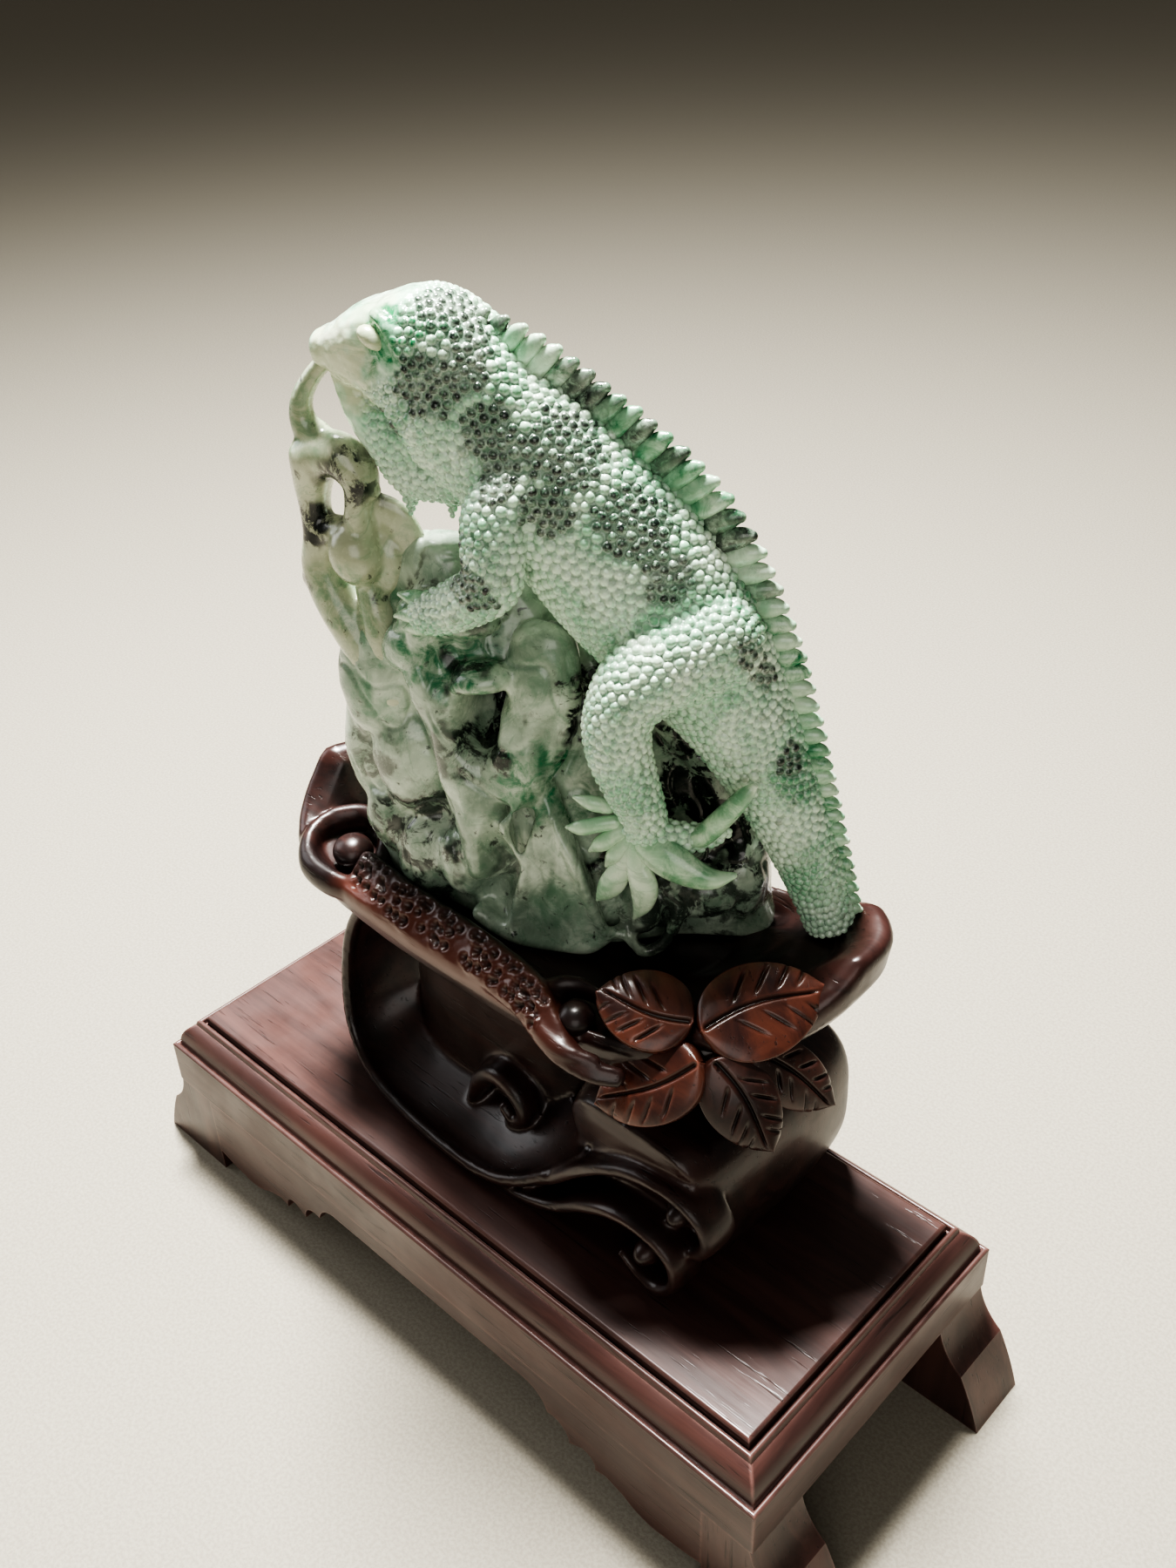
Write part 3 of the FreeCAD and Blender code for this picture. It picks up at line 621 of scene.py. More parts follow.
HEM = [(-12, 15.5, 149, 3.2, 3.4), (-6, 17, 146.5, 3, 3), (1.4, 18.5, 145.4, 2.6, 2.8),
       (12.6, 18.8, 145.8, 2.4, 2.6), (21.6, 18.6, 146.6, 2.2, 2.4), (27.3, 17.2, 151, 2, 2.2),
       (31.4, 16.4, 152, 2, 2.2), (35.7, 16, 146.6, 2, 2.2), (40, 14.5, 147.2, 2, 2.2),
       (43.2, 12.5, 151, 2, 2.2), (45.5, 10, 159, 2.6, 2.8)]
rock_parts = [stacked(rock_rings), jade_tube(HEM, 60, 18),
              jade_tube([(-25, 8, 242, 7, 5), (-22, 11, 224, 8, 5), (-16, 12.5, 204, 8, 6),
                         (-10, 14.5, 184, 8, 6), (-9, 14, 166, 8, 6)], 26, 24),
              jade_ball((-28, 7.5, 231), (10, 6.5, 8), 35),
              jade_ball((-8, 13, 226), (9.5, 6.5, 4.8), 14),
              jade_tube([(8, 6, 236, 9, 6), (8, 8, 224, 11, 7), (6, 11, 212, 11, 6),
                         (2, 14, 202, 10, 5), (-1, 14, 194, 9, 5)], 22, 24),
              jade_tube([(2.5, 18, 191, 0.9, 1.2), (-0.8, 20, 186, 1.8, 1.6),
                         (-1.6, 20.2, 181, 2.2, 1.6), (0.2, 19, 175.5, 1.8, 1.4),
                         (2.8, 17, 171, 0.8, 1)], 18, 16),
              jade_tube([(9.3, 12, 194, 2.5, 3), (10.5, 14, 184, 5.5, 4), (11.5, 15, 172, 9, 4.5),
                         (12, 15.5, 160, 12, 4.5), (12, 16, 149, 15, 4)], 26, 26),
              jade_tube([(9.8, 15.5, 192, 1.2, 1.4), (13.6, 17.5, 184, 1.6, 1.7),
                         (17.6, 18.8, 177, 1.8, 1.8), (21, 19.3, 168, 1.8, 1.8),
                         (24, 19, 158, 1.8, 1.8), (27, 18, 151, 1.6, 1.8)], 26, 16),
              jade_tube([(8.8, 15.5, 190, 1, 1.2), (5.4, 17.6, 178, 1.4, 1.6),
                         (2, 18.4, 164, 1.6, 1.7), (-2, 17.8, 149, 1.8, 1.8)], 22, 16),
              jade_ball((-18, 10.5, 163), (8, 6.5, 12), 10), jade_ball((-31, 6, 158), (11, 7, 15)),
              jade_ball((-43, 0, 168), (10, 8, 14)), jade_ball((-34, 4, 190), (12, 7, 18), 8),
              jade_ball((-42, 1, 216), (13, 9, 22), -6), jade_ball((-50, -6, 190), (9, 10, 24)),
              jade_ball((-54, -8, 224), (5, 6, 15)), jade_ball((-14, 10, 243), (13, 8, 6), -6),
              jade_ball((48, 5, 163), (13, 7, 9)), jade_ball((60, -3, 164), (8, 8, 14)),
              jade_ball((40, 10, 178), (14, 8, 7), 10), jade_ball((34, 12, 158), (7, 5, 8)),
              jade_tube([(62, -8, 150, 6, 8), (59, -8, 172, 6, 7), (51, -6, 196, 6, 7),
                         (40, -4, 214, 7, 7), (26, -2, 232, 8, 7)], 26, 20)]

# %% [markdown]
# The hollows are soft balls in the stone: a point inside one is pushed back,
# square to the lizard's plane. The deepest one is the opening at the front,
# which the rock's markings also paint near black as shade. Soft noise and a
# few creases keep the polish from looking like clay. Nothing is pushed near
# the foot, so that it stays flat in the tray.

# %% Fuse the rock and press in its hollows
rock = fuse("rock_mass", rock_parts, by_speed(0.72), by_speed(30))
DENTS = [(-9, 16, 213, 4.8, 14, 8.0, 15.0), (-5, 15, 220, 4.5, 9, 4.0, 5.0),
         (-18, 14, 229, 4.5, 6, 7, 4.0), (-4, 19, 172, 4.5, 8, 12, 4.5),
         (-8, 17, 156, 4.5, 8, 8, 3.5), (30, 17, 164, 3.5, 8, 10, 3.5),
         (14, 14, 208, 6, 9, 12, 3.0), (22, 14, 192, 8, 8, 8, 2.5),
         (-26, 12, 176, 5, 8, 5, 2.0), (-24, 12, 207, 3, 8, 10, 1.2),
         (0, -28, 200, 14, 14, 18, 4.0), (-34, -28, 180, 12, 12, 14, 3.0),
         (30, -28, 176, 12, 12, 16, 4.0), (-20, -20, 226, 10, 10, 10, 3.0)]
stone = points_of(rock)
stone_local = unjade(stone)
lean_in = normals_of(rock)
push = 0.55 * lumpy(stone, 17, 3.0, 2) + 0.16 * lumpy(stone, 6, 5.0, 2)
fold = np.abs(lumpy(stone * (1, 1, 0.6), 16, 9.0, 2))
push -= 0.5 * step(0.10, 0.0, fold)
sink = np.zeros(len(stone))
for along, out, up, w, d, h, deep in DENTS:
    away = (stone_local - (along, out, up)) / (w, d, h)
    sink += deep * np.sign(out) * np.exp(-((away ** 2).sum(1) ** 1.6) * 0.9)
above_tray = step(143.5, 149, stone[:, 2])[:, None]
set_points(rock, stone + (lean_in * push[:, None] - sink[:, None] * OUT) * above_tray)
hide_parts("rock")

# %% [markdown]
# The rock is greyer than the lizard: grey green with black clouds and small
# black specks, and emerald streaks where the folds run. Some of the dark marks
# are painted shade instead: near black in the deep hollow at the front, under
# the belly, and between the hind leg and the tail.

# %% Markings of the rock
# painted shade: (24, 8, 216) under the belly, (46, 4, 200) and (56, 4, 182) between the hind leg
# and the tail, and (-9, 4, 213) in the deep hollow
ROCK_DARK_AND_SHADE = [(24, 8, 216, 13, 1.2), (46, 4, 200, 12, 2.4), (56, 4, 182, 12, 2.4),
             (30, 14, 172, 9, 1.2), (-9, 4, 213, 8.5, 6.0), (-33, 12, 170, 16, 0.9),
             (-44, 4, 188, 10, 0.7), (-9, 20, 206, 9, 0.95),
             (-20, 16, 206, 9, 0.7), (-12, 14, 228, 6, 0.9), (-8, 16, 236, 8, 0.7),
             (48, 10, 160, 16, 0.85), (60, 2, 168, 14, 0.8), (30, 18, 157, 7, 0.6),
             (-2, 22, 166, 6, 0.6), (-30, 10, 152, 9, 0.8), (48, 6, 200, 10, 0.4),
             (-24, 8, 250, 6, 0.7), (0, -26, 190, 18, 0.7), (30, -24, 160, 14, 0.7),
             (-40, -20, 170, 14, 0.6), (38, 16, 188, 8, 0.6)]
ROCK_GREEN = [(-16, 14, 232, 12, 0.7), (6, 17, 200, 11, 0.7), (22, 16, 190, 9, 0.7),
              (-36, 8, 236, 12, 0.5), (-44, 4, 214, 9, 0.5), (14, 18, 160, 8, 0.3),
              (0, -20, 220, 18, 0.6)]
set_mask(rock, "dark", marked(stone_local, ROCK_DARK_AND_SHADE, 0.7, 6.0))
set_mask(rock, "green", marked(stone_local, ROCK_GREEN, 0.6, 7.0))

# %% [markdown]
# ## Vine
# A twisted vine rises from the rock: a knob, a small eye-shaped hole, a heavy
# drop that hangs to the right, and a thin tendril that reaches the chin.

# %% Vine
VINE = [[(-38, 3, 212, 6, 6), (-45, 3, 225, 6.2, 6), (-52.5, 1, 237, 6.4, 6.2),
         (-56, 0, 247, 6.0, 6.0), (-55.6, 0, 256, 4.6, 5.2), (-56, 0, 264, 4.0, 5),
         (-55.5, 0, 271, 5.2, 5.8), (-53.8, 0, 278.5, 7.0, 6.8), (-53, 0, 283, 4.6, 4.6)],
        [(-52, 1, 279, 6.2, 6), (-45.5, 2, 279.5, 6.0, 6), (-41.0, 2, 274, 5.2, 5.6),
         (-41.8, 3, 267, 3.4, 4.6), (-42.5, 3, 261, 4.6, 4.8)],
        [(-55, 0, 257, 4.6, 4.6), (-48, 2, 258.5, 4.2, 4.6), (-43, 3, 258, 5.2, 5)],
        [(-40, 0, 265, 5, 2.6), (-34.5, -1, 262, 6, 2.6), (-31.5, -2, 254, 6, 2.6),
         (-31, -3, 244, 5, 3)],
        [(-42, 2, 244, 4, 4), (-40, 3, 236, 5, 5), (-38, 4, 226, 6, 5)],
        [(-53.2, 0, 282, 4.8, 4.6), (-56, 0, 287.5, 3.6, 3.4), (-55.4, 0, 293, 2.9, 2.8),
         (-52, 0, 298.5, 2.5, 2.4), (-48, 0, 302.8, 2.3, 2.2), (-45, 0, 306.5, 1.8, 1.8)]]
vine_parts = [jade_tube(rows, 28, 20) for rows in VINE]
vine_parts += [jade_ball((-43.5, 5, 253.5), (7.2, 6.4, 8.6), 14),
               jade_ball((-38.5, 2.5, 271), (3.4, 2.6, 2.4)),
               jade_ball((-59, 0, 243.5), (3.6, 4, 4.2)), jade_ball((-37, 0, 249), (6, 4, 9))]
vine = fuse("vine", vine_parts, 0.7, 10)
vine_local = unjade(points_of(vine))
VINE_DARK = [(-56, 3, 260.5, 6.0, 1.0), (-43.5, 5, 275.5, 7.5, 1.0), (-44, 4, 266, 4.5, 0.9),
             (-59, 2, 243, 4, 0.7), (-47, 6, 255.5, 2.5, 0.8), (-40, -4, 268, 7, 0.8)]
set_mask(vine, "dark", marked(vine_local, VINE_DARK, 0.35, 8.0))
VINE_GREEN = [(-56, 0, 290, 12, 0.35), (-46, 4, 240, 12, 0.4)]
set_mask(vine, "green", marked(vine_local, VINE_GREEN, 0.5, 9.0))
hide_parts("vine_stem", "vine_cap", "vine_tendril")

# %% [markdown]
# All six pieces of stone share two finishes, so each needs every mask that a
# finish reads, even where its value is one plain number. Here each piece also
# gets its body.

# %% Masks and bodies of the stone
for obj in (eyes, claws):
    local = unjade(points_of(obj))
    set_mask(obj, "dark", 0.5 * marked(local, [(40, 22, 196, 5, 0.8)], 0.6, 10.0))
    set_mask(obj, "green", marked(local, [(50, 24, 190, 9, 0.45), (62, 22, 206, 7, 0.4),
                                          (-22, 16, 246, 8, 0.4)], 0.5, 12.0))
for obj, cream in ((eyes, 0.9), (claws, 0.2), (vine, 0.65), (rock, 0.0), (crest, 0.1)):
    for name, value in (("ring", 0.0), ("groove_shade", 0.0), ("cream", cream), ("bead_tone", 0.5)):
        set_mask(obj, name, np.full(len(obj.data.vertices), value))
for obj in (lizard, crest, eyes, claws):
    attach(obj, "jade")
for obj in (rock, vine):
    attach(obj, "jade")

# %% [markdown]
# ## The carved stand: tray
# The tray is one closed skin: from the middle of the recess outwards over the
# floor, up the rim, down the outside and back underneath. The rim is a line of
# its own that rises like a wave at the right end and like a petal at the left.
# The floor climbs with the wave, which gives the tail a place to rest.

# %% Tray
TRAY_OUTLINE = [(-90, -6), (-78, -24), (-45, -30), (0, -31), (40, -29), (62, -22), (78, -9),
                (88, 8), (96, 26), (94, 44), (78, 54), (40, 52), (0, 48), (-42, 40), (-76, 22)]
SPOKES = 220
tray_ring = closed_ring(TRAY_OUTLINE, SPOKES)
tray_mid = np.array([0.0, 10.0])


def bell(points, centre, width):
    away = np.linalg.norm((np.asarray(points) - centre) / width, axis=1)
    return np.exp(-away ** 2)


rim_top = (147.5 + 15.5 * np.clip(1.35 * bell(tray_ring, (92, 40), (26, 22)), 0, 1)
           + 20 * np.clip(1.2 * bell(tray_ring, (-90, 4), (16, 16)), 0, 1)
           + 2.0 * bell(tray_ring, (30, 52), (30, 20)))
rim_under = 133 + 8 * bell(tray_ring, (94, 36), (20, 26)) + 3 * bell(tray_ring, (-90, 0), (18, 20))


def tray_floor(spots):
    return (143.0 + 9.6 * step(52, 72, spots[:, 0]) * step(6, 26, spots[:, 1])
            + 1.5 * step(-60, -84, spots[:, 0]))


TRAY_PROFILE = [(0.02, "floor", 0), (0.3, "floor", 0), (0.55, "floor", 0), (0.74, "floor", 0.2),
                (0.84, "floor", 1.0), (0.90, "rim", -3.4), (0.935, "rim", -1.0),
                (0.965, "rim", 0), (0.99, "rim", -0.9), (1.0, "rim", -3.2), (0.99, "side", 0.5),
                (0.955, "side", 0.2), (0.90, "under", 1.5), (0.80, "under", 0), (0.5, "under", -1),
                (0.02, "under", -1)]
tray_rings = []
for reach, kind, lift in TRAY_PROFILE:
    spots = tray_mid + (tray_ring[:, :2] - tray_mid) * reach
    if kind == "floor":
        height = tray_floor(spots)
    elif kind == "rim":
        height = np.maximum(rim_top, tray_floor(spots) + 1.2)
    elif kind == "side":
        height = rim_top + (rim_under - rim_top) * (1 - lift)
    else:
        height = rim_under
    if kind != "side":
        height = height + lift
    tray_rings.append(np.column_stack([spots, height]))

# %% [markdown]
# A raised band runs along the front of the rim, tilted outwards, and ends in a
# scroll at each side. A squarer tube makes the band, round ones the scrolls.

# %% Band and scrolls
BAND = [(-50, -21, 149.5, 2.6, 5.5), (-31, -24.2, 149.3, 2.8, 6.4), (-12, -24.5, 149, 2.8, 6.6),
        (8, -25.5, 149, 2.8, 6.6), (26, -27.6, 148.6, 2.8, 6.4), (36, -31, 147, 2.6, 5.4),
        (45, -33, 143.5, 2.4, 4), (54, -31.5, 141, 2.2, 3.2), (60, -28, 140, 1.8, 2.6)]
BAND_TILT = unit((0, -math.sin(math.radians(42)), -math.cos(math.radians(42))))
LEFT_SCROLL = [(-47, -20, 145.5, 2.6, 4), (-51, -12, 148, 2.6, 4), (-59, -5, 150, 2.8, 4.2),
               (-69, -4, 150, 2.8, 4.6), (-75.5, -11, 149, 3, 5), (-76, -20, 147, 3.2, 5),
               (-69, -27, 145, 3.4, 5), (-58, -28, 144, 3.4, 5), (-49, -25.5, 144, 3, 4.4)]
RIGHT_SCROLL = [(45, -16, 149, 1.6, 3), (37, -16.5, 149.5, 2.2, 3.6), (31, -21, 149, 2.6, 4),
                (30.5, -27.5, 147.5, 2.8, 4), (36, -32.6, 145.5, 2.8, 3.8),
                (45, -33.6, 143.5, 2.8, 3.8), (53, -30.5, 142, 2.4, 3.4)]
tray_parts = [stacked(tray_rings), tube(BAND, BAND_TILT, 50, 28, 3.4),
              tube([(r[0], r[1] + 4, 143, 6, 7) for r in BAND[:6]], UP, 30, 24),
              tube(LEFT_SCROLL, UP, 40, 20),
              tube(RIGHT_SCROLL, UP, 36, 20)]
tray = fuse("stand_tray", tray_parts, by_speed(0.85), 4)
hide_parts("stand_deck", "stand_rim_band", "stand_wave", "stand_petal",
            "stand_rim_scroll_left", "stand_rim_scroll_right")

# %% [markdown]
# The band along the front is bored with small pits between raised knots, set
# in loose rows, like weathered wood. They are pressed into the skin: a pit is
# a round hollow, a knot a low round bump beside it.

# %% Pits and knots on the band
wood = points_of(tray)
wood_out = normals_of(tray)
knot_random = random.Random(21)
relief = np.zeros(len(wood))
pits = np.zeros(len(wood))
band_path = smooth_rows([row[:3] for row in BAND[:6]], 200)
band_zone = (wood[:, 0] > -54) & (wood[:, 0] < 38) & (wood[:, 1] < -16) & (wood[:, 2] > 138)
zone_index = np.nonzero(band_zone)[0]
zone = wood[zone_index]
for column in range(26):
    spot = band_path[int(4 + column * 7.4)]
    for row in (-3.9, -0.4, 3.1):
        if knot_random.random() < 0.14:
            continue
        slide = row + knot_random.uniform(-0.8, 0.8)
        centre = spot + BAND_TILT * slide + np.array(
            [knot_random.uniform(-1.4, 1.4) + 1.2 * (row > 0), -1.9, 2.1])
        size = knot_random.uniform(0.85, 1.3)
        away = np.linalg.norm(zone - centre, axis=1)
        hollow = np.exp(-(away / size) ** 2)
        ring = np.exp(-((away - 1.9 * size) / (0.55 * size)) ** 2)
        relief[zone_index] += -1.5 * hollow + 0.45 * ring
        pits[zone_index] = np.maximum(pits[zone_index], hollow)
relief += 0.25 * lumpy(wood, 9, 14.0, 2) * step(143.2, 145, wood[:, 2])
set_points(tray, wood + wood_out * relief[:, None])
# the pits mask paints the bored hollows near black in the finish: painted shade
set_mask(tray, "pits", pits)
in_front = step(-3, 3, (wood - band_path[100]) @ (0, -1, 0.2))
set_mask(tray, "red", in_front * step(139, 143, wood[:, 2])
         * step(-58, -46, wood[:, 0]) * step(58, 30, wood[:, 0]))
print("pits and knots on the band, points touched", int((pits > 0.1).sum()))

# %% [markdown]
# Two plain balls sit in the eyes of the scrolls, one at each end of the band.
# They are round and smooth, so that the bored band beside them looks rougher.

# %% Balls in the scrolls
balls = fuse("stand_balls", [ball((-60.5, -16.5, 148), (6.4, 6.4, 5.4)),
                             ball((42, -25, 147.5), (5.4, 5.4, 5.0))], 0.8, 3)
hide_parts("stand_rim_ball_left", "stand_rim_ball_right")

# %% [markdown]
# ## The carved stand: foot
# Under the tray a broad ribbon sweeps down, runs along the table and rises to
# a point, and its inside is hollowed like a bowl. To its right lies a heavy
# roll, with two ribbons that end in curls across its front.

# %% Bowl ribbon
RIBBON = [(-52, 134), (-63, 124), (-68.5, 110), (-69.5, 94), (-66, 79), (-56, 69), (-40, 65),
          (-18, 64.6), (0, 65.4), (14, 68.5), (26, 75), (36, 84), (43, 92)]
RIBBON_FRONT = [-16, -17, -18.5, -21, -24, -27, -30, -32, -33, -32.5, -30, -27, -24]
RIBBON_WIDTH = [26, 26, 27, 28, 30, 32, 34, 35, 34, 30, 24, 18, 12]
ribbon_rows = smooth_rows([(x, z, f, w) for (x, z), f, w in
                           zip(RIBBON, RIBBON_FRONT, RIBBON_WIDTH)], 90)
ribbon_run = np.gradient(ribbon_rows[:, :2], axis=0)
ribbon_in = np.column_stack([-ribbon_run[:, 1], ribbon_run[:, 0]])
ribbon_in /= np.linalg.norm(ribbon_in, axis=1)[:, None]
ACROSS = 18
ribbon_grid = []
for (x, z, front, width), inward in zip(ribbon_rows, ribbon_in):
    loop = []
    for k in range(ACROSS):
        share = k / (ACROSS - 1)
        dish = 0.55 * width * share ** 1.7
        loop.append((x + inward[0] * (3.2 + dish), front + width * share,
                     z + inward[1] * (3.2 + dish)))
    for k in range(ACROSS):
        share = 1 - k / (ACROSS - 1)
        dish = 0.45 * width * share ** 2.2
        loop.append((x + inward[0] * dish * 0.9, front + width * share,
                     z + inward[1] * dish * 0.9))
    ribbon_grid.append(np.array(loop))
LIP = [(x + i[0] * 1.6, f, z + i[1] * 1.6, 2.1, 2.2)
       for (x, z, f, _w), i in zip(ribbon_rows[:80:6], ribbon_in[:80:6])]
foot_parts = [stacked(ribbon_grid), tube(LIP, (0, 1, 0), 90, 14)]

# %% [markdown]
# A ribbon that curls: the path is given in the upright plane of the front
# face, with the ribbon's depth along Y. The curl ends in a small boss.


# %% Curls
def curl(path, fronts, deep, thick=2.2):
    """A flat ribbon along a path of (x, z), this deep along Y behind its front edge."""
    rows = [(p[0], front + deep / 2, p[1], p[2] if len(p) > 2 else thick, deep / 2)
            for p, front in zip(path, np.linspace(*fronts, len(path)))]
    return tube(rows, (0, 1, 0), 70, 20, 3.0)


UPPER_CURL = [(20, 71.5, 2.2), (32, 80.5, 2.4), (42, 90.5, 2.4), (52, 98.5), (62, 103.3),
              (73, 104.6), (83, 101), (87, 93), (84, 85.5), (77, 82.5, 2.0), (70.5, 84.5, 1.3)]
LOWER_CURL = [(2, 64.8, 1.6), (18, 66, 2.0), (34, 72), (46, 81), (57, 87), (69, 88),
              (78, 83), (79.5, 74), (74, 66.6), (66, 66.2, 2.0), (59.5, 70.5, 1.3)]
INNER_CURL = [(-14, 74, 2.5), (-10, 84, 3.4), (-2, 90, 3.6), (6, 87, 3.2), (9, 80, 2.6),
              (4, 76, 2.2), (0, 79.5, 1.8)]

# %% [markdown]
# Behind the curls lie the heavy roll, the core that carries the tray, the neck
# between the two and a small foot at the left. All are fused with the ribbon,
# and the underside is cut level, because it stands on the table.

# %% Roll, core, neck and left foot
ROLL = [(57, -17, 90, 24, 25), (57, -13, 90.5, 27, 27), (57, 5, 91, 28.5, 27.5),
        (57, 30, 91, 28.5, 27.5), (57, 46, 91, 26, 25.5), (57, 50, 91, 22, 22)]
CORE = [(-14, 14, 66, 46, 26), (-14, 14, 90, 44, 25), (-12, 14, 112, 46, 26),
        (-10, 14, 134, 54, 30)]
NECK = [(56, 18, 112, 20, 26), (56, 18, 124, 18, 25), (58, 18, 135, 24, 28)]
foot_parts += [curl(UPPER_CURL, (-31, -24), 13), curl(LOWER_CURL, (-33, -30), 13),
               curl(INNER_CURL, (-19, -19), 12),
               ball((75, -18, 93), (4.2, 8.0, 4.2)), ball((68, -24, 76.5), (4.4, 8.0, 4.4)),
               tube(ROLL, UP, 30, 48, 3.2, (0.15, 0.15)),
               tube(CORE, (0, 1, 0), 24, 48, 3.0, (0.05, 0.05)),
               tube(NECK, (0, 1, 0), 16, 36, 3.0, (0.05, 0.05)),
               tube([(-60, 4, 66, 12, 8), (-74, 4, 72, 9, 8), (-78, 4, 86, 7, 8),
                     (-72, 4, 100, 6, 8), (-62, 4, 112, 6, 9)], (0, 1, 0), 26, 22, 2.6),
               tube([(-72, 4, 64.8, 10, 7), (-60, 4, 66.5, 12, 8), (-40, 6, 70, 10, 9)],
                    (0, 1, 0), 16, 22, 2.6)]
foot = fuse("stand_foot", foot_parts, by_speed(0.95), 3)
foot_points = points_of(foot)
hand_cut = 0.16 * lumpy(foot_points, 18, 17.0, 2)
foot_points = foot_points + normals_of(foot) * hand_cut[:, None]
UNDERSIDE = 63.45
foot_points[:, 2] = np.maximum(foot_points[:, 2], UNDERSIDE)
set_points(foot, foot_points)
for obj in (foot, balls):
    for name in ("pits", "red"):
        set_mask(obj, name, np.zeros(len(obj.data.vertices)))
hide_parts("stand_core", "stand_ribbon", "stand_scroll_lower", "stand_scroll_upper",
            "stand_inner_curl", "stand_slab", "stand_slab_neck", "stand_foot_left")

# %% [markdown]
# ## Leaves
# Five leaves hang over the front right corner from one twig. A leaf is a
# board with a pointed oval outline, a little domed, cut with one deep middle
# vein and slanting side cuts that swell in their middle.

# %% One leaf
LEAF_SIDES = [0.22, 0.40, 0.58, 0.74]


def leaf(name, base, tip, face, width, bend, seed):
    """A leaf from base to tip, its carved side turned to face."""
    base, tip = np.asarray(base, float), np.asarray(tip, float)
    length = np.linalg.norm(tip - base)
    ahead = unit(tip - base)
    normal = unit(np.asarray(face, float) - np.dot(face, ahead) * ahead)
    side = np.cross(normal, ahead)
    lots = random.Random(seed)
    cuts = [(s + lots.uniform(-0.02, 0.02), lots.uniform(0.75, 1.1), sign)
            for s in LEAF_SIDES for sign in (1, -1)]
    nu, nv = 110, 72
    u = np.linspace(0, 1, nu)[:, None] * np.ones(nv)
    v = np.linspace(-1, 1, nv) * np.ones((nu, 1))
    half = width / 2 * np.clip(u ** 0.50 * (1 - u) ** 0.66 / 0.461, 0.04, 1)
    across = v * half
    along = u * length
    middle = 0.07 * width * np.sin(u * math.pi * 1.3)
    vein_away = np.abs(across - middle)
    vein_wide = 0.75 * (1 - 0.55 * u)
    cut = np.exp(-(vein_away / vein_wide) ** 2) * step(0.0, 0.05, u) * step(0.97, 0.86, u)
    for start, size, sign in cuts:
        lane = (across - middle) * sign
        reach = lane / (width / 2)
        where = along - (start * length + lane * 0.95)
        swell = np.exp(-((reach - 0.46) / 0.24) ** 4) * size
        cut = np.maximum(cut, swell * np.exp(-(where / 0.62) ** 2))
    dome = 1.5 * (1 - v ** 2) + bend * 4 * u * (1 - u)
    edge = 1 - np.abs(v) ** 6
    top = dome + 0.6 * edge - 1.1 * cut
    low = dome - 2.4 - 0.2 * edge
    verts = []
    for height in (top, low):
        verts.append(base + along[..., None] * ahead + across[..., None] * side
                     + height[..., None] * normal)
    flat = np.vstack([layer.reshape(-1, 3) for layer in verts])
    faces, shift = [], nu * nv
    for i in range(nu - 1):
        for k in range(nv - 1):
            a, b = i * nv + k, (i + 1) * nv + k
            faces.append((a, b, b + 1, a + 1))
            faces.append((a + shift, a + 1 + shift, b + 1 + shift, b + shift))
    rim = ([i * nv for i in range(nu)] + [(nu - 1) * nv + k for k in range(1, nv)]
           + [i * nv + nv - 1 for i in range(nu - 2, -1, -1)] + [k for k in range(nv - 2, 0, -1)])
    for i, a in enumerate(rim):
        b = rim[(i + 1) % len(rim)]
        faces.append((a, a + shift, b + shift, b))
    obj = piece(name, flat, faces)
    # the cuts are coloured near black in the finish: painted shade in the carved veins
    set_mask(obj, "cuts", np.r_[cut.ravel(), np.zeros(shift)])
    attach(obj, "stand")
    return obj


# %% [markdown]
# Three leaves lie over the rim and show their carved side upwards. Two hang
# lower and turn outwards. The twig joins them, half hidden under the middle.

# %% Five leaves and their twig
leaf_a = leaf("leaf_a", (70, -10, 152.5), (46, -21, 156), (0.22, -0.50, 1), 22, 0.8, 1)
leaf_b = leaf("leaf_b", (73, -11, 152), (88, 21, 155), (0.55, -0.35, 1), 26, 1.0, 2)
leaf_c = leaf("leaf_c", (77, -15, 147), (54, -30, 128), (0.10, -1.0, 0.75), 23, 1.0, 3)
leaf_d = leaf("leaf_d", (78, -12, 147), (96, -9, 124), (0.85, -0.75, 0.5), 20, 1.2, 4)
leaf_e = leaf("leaf_e", (84, -4, 148), (100, 11, 128), (0.95, -0.40, 0.5), 17, 1.2, 5)
for obj, letter in zip((leaf_a, leaf_b, leaf_c, leaf_d, leaf_e), "abcde"):
    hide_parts("stand_leaf_" + letter)
print("leaf faces, each", len(leaf_a.data.polygons))
twig = fuse("leaf_twig", [tube([(60, -8, 143, 4, 4), (68, -9, 147, 3.6, 3.6),
                                (76, -9, 149.5, 3, 3), (82, -4, 149, 2, 2)], UP, 20, 16)], 0.8, 2)
for name in ("pits", "red"):
    set_mask(twig, name, np.zeros(len(twig.data.vertices)))
for obj in (tray, balls, foot, twig):
    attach(obj, "stand")

# %% [markdown]
# ## Finishes
# A finish is a tree of nodes. The same few nodes come back in every tree, so
# each gets a short helper that makes it, sets it and returns its output.


# %% Node helpers
def wire(tree, out, into):
    tree.links.new(out, into)


def math_node(tree, operation, a, b=None, clamp=False):
    node = tree.nodes.new("ShaderNodeMath")
    node.operation = operation
    node.use_clamp = clamp
    for socket, value in zip(node.inputs, (a, b)):
        if value is None:
            continue
        if isinstance(value, (int, float)):
            socket.default_value = value
        else:
            wire(tree, value, socket)
    return node.outputs[0]


def remap(tree, value, low, high, to_low=0.0, to_high=1.0):
    node = tree.nodes.new("ShaderNodeMapRange")
    node.interpolation_type = "SMOOTHSTEP"
    wire(tree, value, node.inputs["Value"])
    for name, number in (("From Min", low), ("From Max", high), ("To Min", to_low),
                         ("To Max", to_high)):
        node.inputs[name].default_value = number
    return node.outputs[0]


